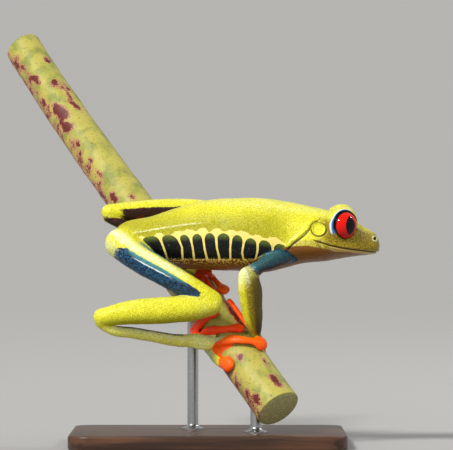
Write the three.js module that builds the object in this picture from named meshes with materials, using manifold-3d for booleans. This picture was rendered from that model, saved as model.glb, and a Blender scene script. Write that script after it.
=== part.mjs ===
// Red-eyed tree frog, life size, gripping a cut length of stem on a plain display stand.
// Millimetres, +Z up. The origin is the centre of the underside of the stand's base, the
// frog looks along +X and its right side faces -Y. Each body segment is its own closed solid.

import * as THREE from 'three';
import { ParametricGeometry } from 'three/addons/geometries/ParametricGeometry.js';
import { mergeVertices } from 'three/addons/utils/BufferGeometryUtils.js';
import Module from 'manifold-3d';

const wasm = await Module();
wasm.setup();

// ---- Driving dimensions ----------------------------------------------------------------

const GAP = 0.3; // clearance between neighbouring solids
const FROG_Y = -6; // the frog's mid-plane stands this far from the middle of the base

const TAIL_X = -21.6; // rump end of the trunk
const SNOUT_X = 38.6; // snout tip: snout to vent is 60.2
const NECK_X = 20.9; // plane between head and trunk
const BACK_SQUARENESS = 2.3; // superellipse power of the back's cross-section

const EYE_RADIUS = 3.3;
const EYE_CENTRE = new THREE.Vector3(30, 7, 49.6);
const EYE_FORWARD = 36; // degrees that each eye looks forward of straight sideways
const LID_WALL = 0.55;
const LID_OPENING = 66; // half angle of the opening between the lids, degrees
const BROW_CENTRE = new THREE.Vector3(29.9, 5.4, 49.9);
const BROW_RADII = new THREE.Vector3(3.75, 3.8, 4.5);
const EARDRUM_CENTRE = new THREE.Vector3(24.7, 8.85, 48.7);
const EARDRUM_RADIUS = 1.5;
const EARDRUM_DEPTH = 0.6;
const EARDRUM_TILT = 24; // degrees that the eardrum leans back from vertical
const NOSTRIL_CENTRE = new THREE.Vector3(37.2, 3.7, 46.7);
const NOSTRIL_RADIUS = 0.35;

const STEM_LENGTH = 122.5;
const STEM_TOP_RADIUS = 4.4;
const STEM_FOOT_RADIUS = 5.2;
const STEM_FOOT = new THREE.Vector3(15.73, -10.99, 8.9);
const STEM_LEAN = new THREE.Vector3(0.499, -0.542, -0.6755).normalize(); // top to foot
const STEM_BEND = new THREE.Vector3(1, 0.35, 0.4); // offset of the top end from straight
const STEM_BEND_LENGTH = 54;

const BASE_LENGTH = 62;
const BASE_WIDTH = 52;
const BASE_HEIGHT = 3.2;
const BASE_CORNER = 5;
const BASE_BEVEL = 0.5;
const ROD_RADIUS = 1.25;
const ROD_FOOT_RADIUS = 2.6;
const ROD_FOOT_HEIGHT = 1.1;

const TOE_THICKNESS = 0.6; // least half thickness of fingers and toes, measured off the stem
const DISC_THICKNESS = 0.5; // half thickness of a disc as a share of its radius
const TOE_LIFT = 0.7; // height of their centre line over the stem

const BODY_SIDES = 18;
const BODY_RINGS = 17;
const LIMB_SIDES = 9;
const TOE_SIDES = 6;
const STEM_SIDES = 20;

const COLOUR = {
  back: '#dcdc3c', flank: '#c9c44a', jaw: '#a08a4a', eye: '#c8160a', eardrum: '#d8bf2c',
  arm: '#9aa646', thigh: '#4f7f86', shin: '#e6dc42', foot: '#f0701a', digit: '#f4600c',
  stem: '#cfc878', wood: '#4a2f1e', steel: '#b9bcc0',
};

// Trunk and head stations: x, top z, underside z, half width, z of the widest level.
const TORSO = [
  [-21.6, 48.6, 45.6, 2.6, 47.1],
  [-18.7, 50.3, 43.9, 4.8, 47.2],
  [-13.0, 51.6, 41.7, 6.3, 46.6],
  [-6.3, 53.8, 40.1, 7.6, 46.4],
  [0.5, 55.4, 39.6, 8.7, 46.3],
  [7.2, 55.8, 39.4, 9.4, 46.3],
  [12.8, 55.7, 39.1, 9.4, 46.0],
  [18.4, 54.9, 40.4, 8.9, 45.4],
  [21.8, 54.2, 41.2, 9.4, 45.1],
  [26.3, 53.2, 41.6, 9.8, 45.0],
  [30.8, 52.0, 42.4, 8.4, 44.9],
  [34.6, 49.6, 42.9, 6.3, 44.8],
  [37.2, 48.1, 43.2, 4.4, 44.7],
  [38.6, 47.4, 43.3, 3.7, 44.7],
];
const SNOUT_ROUND = 1.3; // length over which the snout tip rounds off
const RUMP_ROUND = 2.2;

// The mouth line from the snout tip to its corner, seen from the side: x, z.
const MOUTH = [[40, 43.5], [37.8, 43.6], [34.2, 44], [31.9, 44.3], [29.7, 44.6],
  [27.4, 45.1], [25.2, 45.8], [23.2, 46.4]];
const JAW_REAR = [[22.2, 44.5], [21.8, 37]];

// Limbs of the right side: x, distance from the mid-plane, z, radius seen from the side and
// radius across. The left limbs have a table of their own where they are posed otherwise.
const LIMBS = {
  right: {
    upper_arm: [[17.9, 5.6, 43.7, 2.4, 2], [14.3, 8.2, 41.8, 1.85, 1.8], [11, 9.6, 40.2, 1.4, 1.55],
      [8.7, 10, 38.6, 1.9, 1.8]],
    forearm: [[8.7, 10, 38.4, 2.05, 1.9], [9.3, 9.3, 35.7, 2.7, 2.1], [9.7, 7.9, 32.3, 2.4, 1.9],
      [10.2, 6, 28.9, 1.8, 1.6], [10.6, 4.6, 26.4, 1.2, 1.2], [10.7, 3.9, 24.9, 0.9, 1]],
    thigh: [[-19.7, 4, 45.6, 3.5, 3.4], [-14.6, 6.8, 41.8, 3.1, 2.9], [-7.8, 8.8, 37.9, 2.8, 2.7],
      [-3.1, 9.7, 35.1, 2.7, 2.6], [0.8, 10, 32.5, 2.7, 2.45]],
    shin: [[0.8, 10.2, 32, 2.45, 2.35], [-3.5, 10.8, 31.3, 2.9, 2.7], [-9.5, 11.6, 30.8, 3, 2.7],
      [-17.3, 12, 30.3, 2.7, 2.35], [-23.6, 12, 29.2, 2, 1.8]],
    ankle: [[-24.1, 11.8, 28, 1.1, 1.35], [-21.3, 10.6, 26.4, 1.2, 1.45], [-16.9, 8.7, 25.7, 1.3, 1.45],
      [-12.4, 6.7, 24.9, 1.3, 1.45], [-8, 4.6, 24, 1.4, 1.4], [-3.8, 2.9, 23.7, 1.6, 1.3]],
    foot: [[-4.4, 2.9, 23.8, 1.6, 1.2], [-2, 3.3, 23.6, 1.85, 1.05], [0.4, 3.9, 23.2, 1.6, 0.85]],
  },
  left: {
    upper_arm: [[18.1, 5.6, 43.6, 2.4, 2], [14.5, 8, 41.6, 1.9, 1.8], [11.3, 9.4, 39.9, 1.5, 1.6],
      [9.5, 9.8, 38.4, 1.95, 1.8]],
    forearm: [[9.5, 9.8, 38.1, 2, 1.9], [9.7, 9.3, 35.6, 2.35, 2.15], [9.7, 8.2, 32.9, 2.2, 1.9],
      [9.6, 6.6, 30.4, 1.7, 1.6], [9.5, 4.9, 28.6, 1.1, 1.2], [9.5, 4.1, 27.5, 0.9, 1]],
    thigh: [[-19.9, 4, 45.5, 3.5, 3.4], [-14.8, 6.8, 47.1, 2.95, 2.8], [-7.6, 9.8, 49.4, 2.8, 2.7],
      [-2.3, 11.8, 51.2, 2.6, 2.6], [1.3, 12.6, 52.3, 2.5, 2.5]],
    shin: [[1.3, 13, 52.6, 2.5, 2.4], [-3.7, 14.2, 52.9, 2.8, 2.6], [-9.9, 14.2, 52.8, 2.9, 2.6],
      [-16.7, 13.2, 52.6, 2.6, 2.4], [-22.6, 11.8, 52.5, 1.95, 1.8]],
    ankle: [[-23.1, 11.6, 51.4, 1.1, 1.3], [-19.2, 11.6, 49.5, 1.2, 1.4], [-14.9, 11.5, 47, 1.3, 1.4],
      [-9.8, 10.2, 43.9, 1.4, 1.4], [-5.5, 8.6, 41.1, 1.45, 1.35], [-2.8, 7.6, 39.8, 1.6, 1.25]],
    foot: [[-3.2, 7.7, 40.1, 1.6, 1.2], [-1.5, 7.1, 39.3, 1.7, 1], [0, 7, 38.7, 1.5, 0.9]],
  },
};

// Hands lie on the stem: distance along it, angle round it from the right side, lift, radii.
const HANDS = {
  right: [[104.5, -66, 1, 0.9, 0.9], [105.1, -84, 0.8, 1.2, 0.7], [105.5, -102, 0.7, 1.1, 0.7]],
  left: [[98.9, -102, 1.1, 0.9, 0.95], [98.9, -112, 1, 1.3, 0.85], [98.9, -121, 0.95, 1.1, 0.8]],
};

// Fingers and toes, innermost first: keys of distance along the stem and angle round it, the
// last one in the middle of the disc at the tip. A lift is the height of a disc that stands off.
const FINGERS = {
  right: [
    { disc: 1, radius: 0.8, keys: [[104.2, -72], [101.4, -72], [98.2, -73], [95.4, -74], [93.8, -73]] },
    { disc: 1.05, radius: 0.55, keys: [[105, -100], [104.6, -118], [103.5, -138], [102.6, -156]] },
    { disc: 1.05, radius: 0.55, keys: [[105.6, -102], [106.3, -120], [107, -142], [107.5, -160]] },
    { disc: 1.05, radius: 0.55, keys: [[106, -100], [107.6, -118], [109.8, -140], [111.4, -156]] },
  ],
  left: [
    { disc: 0.85, radius: 0.55, keys: [[98.6, -112], [96.2, -120], [93.4, -127], [91.6, -132]] },
    { disc: 1.05, radius: 0.55, keys: [[98.4, -116], [97, -134], [95.8, -154]] },
    { disc: 1.05, radius: 0.55, keys: [[99, -118], [99.3, -140], [99.1, -162]] },
    { disc: 1.05, radius: 0.55, keys: [[99.4, -116], [101.4, -132], [102.4, -150]] },
  ],
};
const TOES = {
  right: [
    { disc: 1.1, radius: 0.7, keys: [[93.8, 66], [94.6, 40], [94.6, 21], [94.4, 6]] },
    { disc: 1.2, radius: 0.75, keys: [[95.2, 56], [95.6, 34], [95.8, 14], [95.9, -8]] },
    { disc: 1.3, radius: 0.9, keys: [[97.8, 36], [99.6, 11], [101.3, -15], [102.1, -36]] },
    { disc: 1.6, radius: 1.1, keys: [[101.1, 34], [103, 13], [104.1, -3], [106.2, -30], [107.6, -54]] },
    { disc: 1.9, radius: 1.25, keys: [[101.4, 56], [104, 52], [106.4, 42], [108.2, 34]] },
  ],
  left: [
    { disc: 1, radius: 0.65, keys: [[84.6, -30], [85.2, -12], [86.4, 0]] },
    { disc: 1.1, radius: 0.7, keys: [[85, -36], [87.2, -26], [89, -19]] },
    { disc: 1.25, radius: 0.7, keys: [[85.2, -46], [87.8, -44], [90, -39]] },
    { disc: 1.6, radius: 0.75, lift: 1.2, keys: [[84.6, -62], [86.3, -72], [88, -74], [89.8, -71]] },
    { disc: 1.5, radius: 0.75, keys: [[84, -66], [85, -90], [86.2, -112], [87.2, -132]] },
  ],
};

// ---- Helpers: solids -------------------------------------------------------------------

/** Turns a closed geometry into a solid, with its faces pointing out. */
function solidOf(geometry) {
  geometry.deleteAttribute('normal');
  geometry.deleteAttribute('uv');
  const merged = mergeVertices(geometry, 1e-4);
  const positions = merged.getAttribute('position');
  const corner = new THREE.Vector3();
  const next = new THREE.Vector3();
  const last = new THREE.Vector3();
  const triangles = [];
  let volume = 0;
  for (let i = 0; i < merged.index.count; i += 3) {
    const [a, b, c] = [0, 1, 2].map((k) => merged.index.getX(i + k));
    if (a === b || b === c || c === a) continue;
    corner.fromBufferAttribute(positions, a);
    next.fromBufferAttribute(positions, b);
    last.fromBufferAttribute(positions, c);
    volume += corner.dot(next.cross(last));
    triangles.push([a, b, c]);
  }
  if (volume < 0) triangles.forEach((t) => t.reverse());
  return new wasm.Manifold(new wasm.Mesh({
    numProp: 3,
    vertProperties: new Float32Array(positions.array),
    triVerts: Uint32Array.from(triangles.flat()),
  }));
}

/** The largest body of a solid: slivers left by a cut are dropped. */
function largest(solid) {
  return solid.decompose().sort((a, b) => b.volume() - a.volume())[0];
}

const frog = new THREE.Group();
frog.position.y = FROG_Y;
const placed = [];

function boxesMeet(a, b) {
  return [0, 1, 2].every((i) => a.min[i] <= b.max[i] && b.min[i] <= a.max[i]);
}

/**
 * Adds a named mesh. shape(grow) gives the solid with its surface moved out by grow; every
 * solid added before it is cut away together with the clearance round it.
 */
function add(name, colour, shape, { roughness = 0.45, metalness = 0 } = {}) {
  let solid = shape(0);
  const box = solid.boundingBox();
  for (const other of placed) {
    if (boxesMeet(box, other.box)) solid = solid.subtract(other.solid);
  }
  const grown = shape(GAP);
  placed.push({ solid: grown, box: grown.boundingBox() });

  const { vertProperties, triVerts } = largest(solid).getMesh();
  const geometry = new THREE.BufferGeometry();
  geometry.setAttribute('position', new THREE.BufferAttribute(vertProperties, 3));
  geometry.setIndex(new THREE.BufferAttribute(triVerts, 1));
  geometry.computeVertexNormals();
  const mesh = new THREE.Mesh(geometry, new THREE.MeshStandardMaterial({ color: colour, roughness, metalness }));
  mesh.name = name;
  frog.add(mesh);
}

// ---- Helpers: shapes -------------------------------------------------------------------

/** A body through elliptic rings; a ring of no size closes an end. */
function sweep(rings, sides) {
  return solidOf(new ParametricGeometry((u, v, out) => {
    const ring = rings[Math.round(v * (rings.length - 1))];
    const angle = 2 * Math.PI * (u % 1);
    out.copy(ring.centre);
    out.addScaledVector(ring.across, ring.a * Math.cos(angle));
    out.addScaledVector(ring.up, ring.b * Math.sin(angle));
  }, sides, rings.length - 1));
}

function ellipsoid(centre, radii, columns = 12, rows = 8) {
  const ball = new THREE.SphereGeometry(1, columns, rows);
  ball.scale(radii.x, radii.y, radii.z);
  ball.translate(centre.x, centre.y, centre.z);
  return solidOf(ball);
}

/** The two axes of a section square to a path: one near the given axis, one across both. */
function sectionAxes(tangent, axis) {
  const up = axis.clone().addScaledVector(tangent, -axis.dot(tangent)).normalize();
  return { up, across: new THREE.Vector3().crossVectors(up, tangent) };
}

const ACROSS_BODY = new THREE.Vector3(0, 1, 0);
const CAP_STEPS = [0.85, 0.45];

/** A limb segment with round ends through keys of position and two radii. */
function limb(keys, grow) {
  const path = new THREE.CatmullRomCurve3(keys.map(([x, y, z]) => new THREE.Vector3(x, y, z)));
  const radii = new THREE.CubicInterpolant(
    keys.map((_, i) => i / (keys.length - 1)), keys.flatMap((key) => key.slice(3)), 2, new Float32Array(2));
  const ring = (t, shift, scale) => {
    const tangent = path.getTangent(t);
    const [a, b] = radii.evaluate(t);
    const centre = path.getPoint(t).addScaledVector(tangent, shift * (a + grow));
    return { centre, ...sectionAxes(tangent, ACROSS_BODY), a: (a + grow) * scale, b: (b + grow) * scale };
  };
  const steps = keys.length;
  const rings = [ring(0, -1, 0)];
  for (const c of CAP_STEPS) rings.push(ring(0, -c, Math.sqrt(1 - c * c)));
  for (let i = 0; i <= steps; i += 1) rings.push(ring(i / steps, 0, 1));
  for (const c of [...CAP_STEPS].reverse()) rings.push(ring(1, c, Math.sqrt(1 - c * c)));
  rings.push(ring(1, 1, 0));
  return sweep(rings, LIMB_SIDES);
}

const mirrorY = (keys, side) => (side === 'right' ? keys.map(([x, y, ...rest]) => [x, -y, ...rest]) : keys);
const sideSign = (side) => (side === 'right' ? -1 : 1);
const mirrored = (point, side) => new THREE.Vector3(point.x, point.y * sideSign(side), point.z);

// ---- The stem --------------------------------------------------------------------------

const stemRadius = (s) => THREE.MathUtils.lerp(STEM_TOP_RADIUS, STEM_FOOT_RADIUS, s / STEM_LENGTH);
const stemSide = sectionAxes(STEM_LEAN, new THREE.Vector3(0, -1, 0));
stemSide.across.negate();

/** A point of the stem's axis, s along it from the top end. */
function stemAxis(s) {
  const bend = Math.max(0, 1 - s / STEM_BEND_LENGTH) ** 3;
  return STEM_FOOT.clone().addScaledVector(STEM_LEAN, s - STEM_LENGTH).addScaledVector(STEM_BEND, bend);
}

/** Outward direction of the stem's surface, at an angle in degrees round it. */
function stemNormal(degrees) {
  const angle = THREE.MathUtils.degToRad(degrees);
  return new THREE.Vector3()
    .addScaledVector(stemSide.up, Math.cos(angle))
    .addScaledVector(stemSide.across, Math.sin(angle));
}

const onStem = (s, degrees, lift) => stemAxis(s).addScaledVector(stemNormal(degrees), stemRadius(s) + lift);

function stem(grow) {
  const steps = 5;
  const rings = [];
  for (let i = 0; i <= steps; i += 1) {
    const s = (STEM_LENGTH * i) / steps;
    const radius = stemRadius(s) + grow;
    rings.push({ centre: stemAxis(s), ...stemSide, a: radius, b: radius });
  }
  rings[0].centre.addScaledVector(STEM_LEAN, -grow);
  rings[steps].centre.addScaledVector(STEM_LEAN, grow);
  rings.unshift({ ...rings[0], a: 0, b: 0 });
  rings.push({ ...rings[steps + 1], a: 0, b: 0 });
  return sweep(rings, STEM_SIDES);
}

// ---- Head and trunk --------------------------------------------------------------------

const torsoSection = new THREE.CubicInterpolant(
  TORSO.map((row) => row[0]), TORSO.flatMap((row) => row.slice(1)), 4, new Float32Array(4));

/** How far the ends have rounded off at x, from 1 down to 0. */
function endRounding(x) {
  const past = Math.max(0, (x - SNOUT_X + SNOUT_ROUND) / SNOUT_ROUND, (TAIL_X + RUMP_ROUND - x) / RUMP_ROUND);
  return Math.sqrt(Math.max(0, 1 - past * past));
}

function torso(grow) {
  return solidOf(new ParametricGeometry((u, v, out) => {
    const x = THREE.MathUtils.lerp(TAIL_X, SNOUT_X, (1 - Math.cos(Math.PI * v)) / 2);
    const [top, bottom, halfWidth, middle] = torsoSection.evaluate(x);
    const size = v === 0 || v === 1 ? 0 : endRounding(x);
    const angle = 2 * Math.PI * (u % 1);
    const [c, s] = [Math.cos(angle), Math.sin(angle)];
    const power = s > 0 ? 2 / BACK_SQUARENESS : 1;
    const height = s > 0 ? top - middle : middle - bottom;
    const stretch = x + grow * Math.sign(x - NECK_X) * (1 - size);
    out.set(
      stretch,
      Math.sign(c) * Math.abs(c) ** power * (halfWidth * size + (size > 0 ? grow : 0)),
      middle + Math.sign(s) * Math.abs(s) ** power * (height * size + (size > 0 ? grow : 0)),
    );
  }, BODY_SIDES, BODY_RINGS));
}

/** A block that reaches across the whole body, with its outline given from the side. */
function blockAcross(outline) {
  const depth = 30;
  const block = new THREE.ExtrudeGeometry(new THREE.Shape(outline.map(([x, z]) => new THREE.Vector2(x, z))), {
    depth, bevelEnabled: false,
  });
  block.translate(0, 0, -depth / 2);
  block.rotateX(Math.PI / 2);
  return solidOf(block);
}

function jawBlock(grow) {
  const lip = MOUTH.map(([x, z]) => [x, z + grow]);
  const rear = JAW_REAR.map(([x, z]) => [x - grow, z]);
  return blockAcross([...lip, ...rear, [40, 37]]);
}

function headBlock(grow) {
  return blockAcross([[NECK_X - grow, 30], [NECK_X - grow, 62], [42, 62], [42, 30]]);
}

/** Direction in which an eye looks. */
function gaze(side) {
  const angle = THREE.MathUtils.degToRad(EYE_FORWARD);
  return new THREE.Vector3(Math.sin(angle), sideSign(side) * Math.cos(angle), 0);
}

function lids(side, grow) {
  const outer = EYE_RADIUS + GAP + LID_WALL + grow;
  const brow = ellipsoid(mirrored(BROW_CENTRE, side), BROW_RADII.clone().addScalar(grow));
  return brow.add(ellipsoid(mirrored(EYE_CENTRE, side), new THREE.Vector3(outer, outer, outer)));
}

/** The cone that opens the lids in front of an eye. */
function lidOpening(side) {
  const height = 9;
  const radius = height * Math.tan(THREE.MathUtils.degToRad(LID_OPENING));
  const cone = new THREE.ConeGeometry(radius, height, 12);
  cone.translate(0, -height / 2, 0);
  const turn = new THREE.Quaternion().setFromUnitVectors(new THREE.Vector3(0, -1, 0), gaze(side));
  cone.applyQuaternion(turn);
  const centre = mirrored(EYE_CENTRE, side);
  cone.translate(centre.x, centre.y, centre.z);
  return solidOf(cone);
}

function eyeball(side, grow) {
  const radius = EYE_RADIUS + grow;
  const ball = new THREE.SphereGeometry(radius, 12, 8);
  ball.applyQuaternion(new THREE.Quaternion().setFromUnitVectors(new THREE.Vector3(0, 1, 0), gaze(side)));
  const centre = mirrored(EYE_CENTRE, side);
  ball.translate(centre.x, centre.y, centre.z);
  return solidOf(ball);
}

function eardrum(side, grow) {
  const disc = new THREE.SphereGeometry(1, 10, 6);
  disc.scale(EARDRUM_RADIUS + grow, EARDRUM_DEPTH + grow, EARDRUM_RADIUS + grow);
  disc.rotateX(THREE.MathUtils.degToRad(EARDRUM_TILT) * sideSign(side));
  const centre = mirrored(EARDRUM_CENTRE, side);
  disc.translate(centre.x, centre.y, centre.z);
  return solidOf(disc);
}

function head(grow) {
  let solid = torso(grow).intersect(headBlock(grow));
  for (const side of ['right', 'left']) solid = solid.add(lids(side, grow));
  if (grow > 0) return solid;
  for (const side of ['right', 'left']) {
    const nostril = new THREE.Vector3(NOSTRIL_RADIUS, NOSTRIL_RADIUS, NOSTRIL_RADIUS);
    solid = solid.subtract(lidOpening(side));
    solid = solid.subtract(ellipsoid(mirrored(NOSTRIL_CENTRE, side), nostril, 6, 4));
  }
  return solid;
}

// ---- Hands, feet and digits ------------------------------------------------------------

/** The palm of a hand, pressed on the stem. */
function palm(side, grow) {
  const rings = [];
  const keys = HANDS[side];
  const path = new THREE.CatmullRomCurve3(keys.map(([s, angle, lift]) => onStem(s, angle, lift)));
  const shape = new THREE.CubicInterpolant(
    keys.map((_, i) => i / (keys.length - 1)), keys.flatMap(([, angle, , a, b]) => [angle, a, b]), 3,
    new Float32Array(3));
  const ring = (t, shift, scale) => {
    const tangent = path.getTangent(t);
    const [angle, a, b] = shape.evaluate(t);
    const centre = path.getPoint(t).addScaledVector(tangent, shift * (b + grow));
    return { centre, ...sectionAxes(tangent, stemNormal(angle)), a: (a + grow) * scale, b: (b + grow) * scale };
  };
  rings.push(ring(0, -1, 0), ring(0, -0.7, 0.7));
  for (let i = 0; i <= 4; i += 1) rings.push(ring(i / 4, 0, 1));
  rings.push(ring(1, 0.7, 0.7), ring(1, 1, 0));
  return sweep(rings, LIMB_SIDES);
}

/** Half width of a digit at a distance from its tip: a round disc, then the slender toe. */
function digitWidth(distance, radius, disc) {
  const fromCentre = distance - disc;
  const chord = Math.sqrt(Math.max(0, disc * disc - fromCentre * fromCentre));
  return fromCentre < 0 ? chord : Math.max(radius, chord);
}

/** A finger or toe from its root through keys on the stem to the disc at its tip. */
function digit(root, { keys, radius, disc, lift = TOE_LIFT }, grow) {
  const [[s0, angle0], [s1, angle1]] = keys.slice(-2);
  const degreesPerLength = 180 / (Math.PI * stemRadius(s1));
  const reach = disc / Math.hypot(s1 - s0, (angle1 - angle0) / degreesPerLength);
  const tip = [s1 + (s1 - s0) * reach, angle1 + (angle1 - angle0) * reach];
  const stops = [...keys, tip].map(([s, angle], i) => {
    const share = Math.min(1, i / (keys.length - 1));
    return onStem(s, angle, THREE.MathUtils.lerp(TOE_LIFT, lift, share));
  });
  const path = new THREE.CatmullRomCurve3([root, ...stops]);
  const length = path.getLength();
  const fractions = [0.05, 0.35];
  const nearTip = [2.2, 1.5, 0.8, 0.15].map((step) => 1 - (step * disc) / length);
  const ring = (t, shift, scale) => {
    const tangent = path.getTangentAt(t);
    const centre = path.getPointAt(t);
    const foot = centre.clone().sub(STEM_FOOT);
    const outward = foot.addScaledVector(STEM_LEAN, -foot.dot(STEM_LEAN)).normalize();
    centre.addScaledVector(tangent, shift * grow);
    const distance = (1 - t) * length;
    const a = (digitWidth(distance, radius, disc) + grow) * scale;
    const atDisc = THREE.MathUtils.smoothstep(-distance, -2.2 * disc, -disc);
    const bulge = Math.max(0, DISC_THICKNESS * disc - TOE_THICKNESS);
    const b = (Math.min(TOE_THICKNESS + bulge * atDisc, 0.3 + distance) + grow) * scale;
    return { centre, ...sectionAxes(tangent, outward), a, b };
  };
  const ts = [...fractions, ...nearTip].filter((t, i, all) => i === 0 || t > all[i - 1] + 0.02);
  return sweep([ring(0, -1, 0), ...ts.map((t) => ring(t, 0, 1)), ring(1, 1, 0)], TOE_SIDES);
}

// ---- Stand -----------------------------------------------------------------------------

function base(grow) {
  const [x, y] = [BASE_LENGTH / 2 - BASE_BEVEL, BASE_WIDTH / 2 - BASE_BEVEL];
  const r = BASE_CORNER - BASE_BEVEL;
  const outline = new THREE.Shape();
  outline.absarc(x - r, y - r, r, 0, Math.PI / 2);
  outline.absarc(-x + r, y - r, r, Math.PI / 2, Math.PI);
  outline.absarc(-x + r, -y + r, r, Math.PI, 1.5 * Math.PI);
  outline.absarc(x - r, -y + r, r, 1.5 * Math.PI, 2 * Math.PI);
  const plate = new THREE.ExtrudeGeometry(outline, {
    depth: BASE_HEIGHT - 2 * BASE_BEVEL + grow,
    bevelSize: BASE_BEVEL,
    bevelThickness: BASE_BEVEL,
    bevelSegments: 1,
    curveSegments: 3,
  });
  plate.translate(0, -FROG_Y, BASE_BEVEL);
  return solidOf(plate);
}

/** An upright rod below the stem's axis, s along it, up to the stem. */
function rod(s, grow) {
  const top = stemAxis(s);
  const foot = BASE_HEIGHT + GAP;
  const radius = ROD_RADIUS + grow;
  const profile = new THREE.Path();
  profile.moveTo(0, foot);
  profile.lineTo(ROD_FOOT_RADIUS + grow, foot);
  profile.lineTo(ROD_FOOT_RADIUS + grow, foot + 0.3);
  profile.quadraticCurveTo(radius, foot + 0.4, radius, foot + ROD_FOOT_HEIGHT);
  profile.lineTo(radius, top.z);
  profile.lineTo(0, top.z);
  const turned = new THREE.LatheGeometry(profile.getPoints(2), 12);
  turned.rotateX(Math.PI / 2);
  turned.translate(top.x, top.y, 0);
  return solidOf(turned);
}

// ---- Assembly --------------------------------------------------------------------------

const SIDES = ['right', 'left'];
const FLESH = { roughness: 0.42 };

add('perch_stem', COLOUR.stem, stem, { roughness: 0.6 });
for (const side of SIDES) {
  add(`eye_${side}`, COLOUR.eye, (grow) => eyeball(side, grow), { roughness: 0.05 });
  add(`eardrum_${side}`, COLOUR.eardrum, (grow) => eardrum(side, grow), FLESH);
}
add('lower_jaw', COLOUR.jaw, (grow) => torso(grow).intersect(jawBlock(grow)), FLESH);
add('head', COLOUR.back, head, FLESH);
add('trunk', COLOUR.flank, torso, FLESH);

const LIMB_COLOURS = {
  upper_arm: COLOUR.arm, forearm: COLOUR.arm, thigh: COLOUR.thigh, shin: COLOUR.shin, ankle: COLOUR.shin,
  foot: COLOUR.foot,
};
for (const side of SIDES) {
  for (const [name, keys] of Object.entries(LIMBS[side])) {
    add(`${name}_${side}`, LIMB_COLOURS[name], (grow) => limb(mirrorY(keys, side), grow), FLESH);
  }
  add(`hand_${side}`, COLOUR.foot, (grow) => palm(side, grow), FLESH);

  const [handS, handAngle, handLift] = HANDS[side][1];
  const knuckle = onStem(handS, handAngle, handLift - 0.2);
  FINGERS[side].forEach((finger, i) => {
    add(`finger_${side}_${i + 1}`, COLOUR.digit, (grow) => digit(knuckle, finger, grow), FLESH);
  });

  const [x, y, z] = mirrorY(LIMBS[side].foot, side)[1];
  const instep = new THREE.Vector3(x, y, z);
  TOES[side].forEach((toe, i) => {
    add(`toe_${side}_${i + 1}`, COLOUR.digit, (grow) => digit(instep, toe, grow), FLESH);
  });
}

add('stand_base', COLOUR.wood, base, { roughness: 0.35 });
const ROD_PLACES = { front: 112.5, rear: 84 };
for (const [name, s] of Object.entries(ROD_PLACES)) {
  add(`stand_rod_${name}`, COLOUR.steel, (grow) => rod(s, grow), { roughness: 0.25, metalness: 1 });
}

export default frog;
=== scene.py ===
"""A life-size red-eyed tree frog on a cut stem and a display stand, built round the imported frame."""

import math
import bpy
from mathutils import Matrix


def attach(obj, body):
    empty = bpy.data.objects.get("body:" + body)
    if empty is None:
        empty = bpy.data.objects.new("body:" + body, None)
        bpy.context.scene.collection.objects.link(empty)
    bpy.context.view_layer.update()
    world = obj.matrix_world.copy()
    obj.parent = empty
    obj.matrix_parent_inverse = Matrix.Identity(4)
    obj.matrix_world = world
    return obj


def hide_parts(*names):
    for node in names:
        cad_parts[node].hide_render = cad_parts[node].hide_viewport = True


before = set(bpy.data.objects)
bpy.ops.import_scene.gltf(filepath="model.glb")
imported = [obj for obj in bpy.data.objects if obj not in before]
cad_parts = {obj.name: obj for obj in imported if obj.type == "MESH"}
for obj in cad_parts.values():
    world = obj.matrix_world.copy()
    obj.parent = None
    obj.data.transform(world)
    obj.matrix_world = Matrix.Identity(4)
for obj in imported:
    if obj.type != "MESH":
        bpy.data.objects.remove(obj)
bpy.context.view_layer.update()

from types import SimpleNamespace

import bmesh
import bpy
import numpy as np
from bpy.props import FloatProperty, FloatVectorProperty, IntProperty, PointerProperty
from mathutils import Matrix, Vector, noise

bl_info = {
    "name": "Red-eyed tree frog",
    "version": (1, 0, 0),
    "blender": (4, 5, 0),
    "location": "View3D > Sidebar > Frog",
    "description": "Builds a life-size tree frog on a stem, with its display stand and stage",
    "category": "Object",
}

MM = 0.001
SIDES = {"right": -1, "left": 1}
FAR = 9.0  # stands for any distance in mm that is too far to matter

# The frog's own frame is in millimetres: x to the snout, y to its left from the mid-plane, z up.
FROG_Y = -6
FROG_TO_ROW = Matrix.Translation((0, FROG_Y * MM, 0)) @ Matrix.Scale(MM, 4)

# ---- Shape of the frog ----

TAIL_X = -21.6
SNOUT_X = 38.6
SNOUT_ROUND = 1.3
RUMP_ROUND = 2.2
BACK_SQUARENESS = 2.3

# Trunk and head: x, top z, underside z, half width, z of the widest level.
TORSO = [
    (-21.6, 48.6, 45.6, 2.6, 47.1), (-18.7, 50.3, 43.9, 4.8, 47.2), (-13.0, 51.6, 41.7, 6.3, 46.6),
    (-6.3, 53.8, 40.1, 7.6, 46.4), (0.5, 55.4, 39.6, 8.7, 46.3), (7.2, 55.8, 39.4, 9.4, 46.3),
    (12.8, 55.7, 39.1, 9.4, 46.0), (18.4, 54.9, 40.4, 8.9, 45.4), (21.8, 54.2, 41.2, 9.4, 45.1),
    (26.3, 53.2, 41.6, 9.8, 45.0), (30.8, 52.0, 42.4, 8.4, 44.9), (34.6, 49.6, 42.9, 6.3, 44.8),
    (37.2, 48.1, 43.2, 4.4, 44.7), (38.6, 47.4, 43.3, 3.7, 44.7)]

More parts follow.
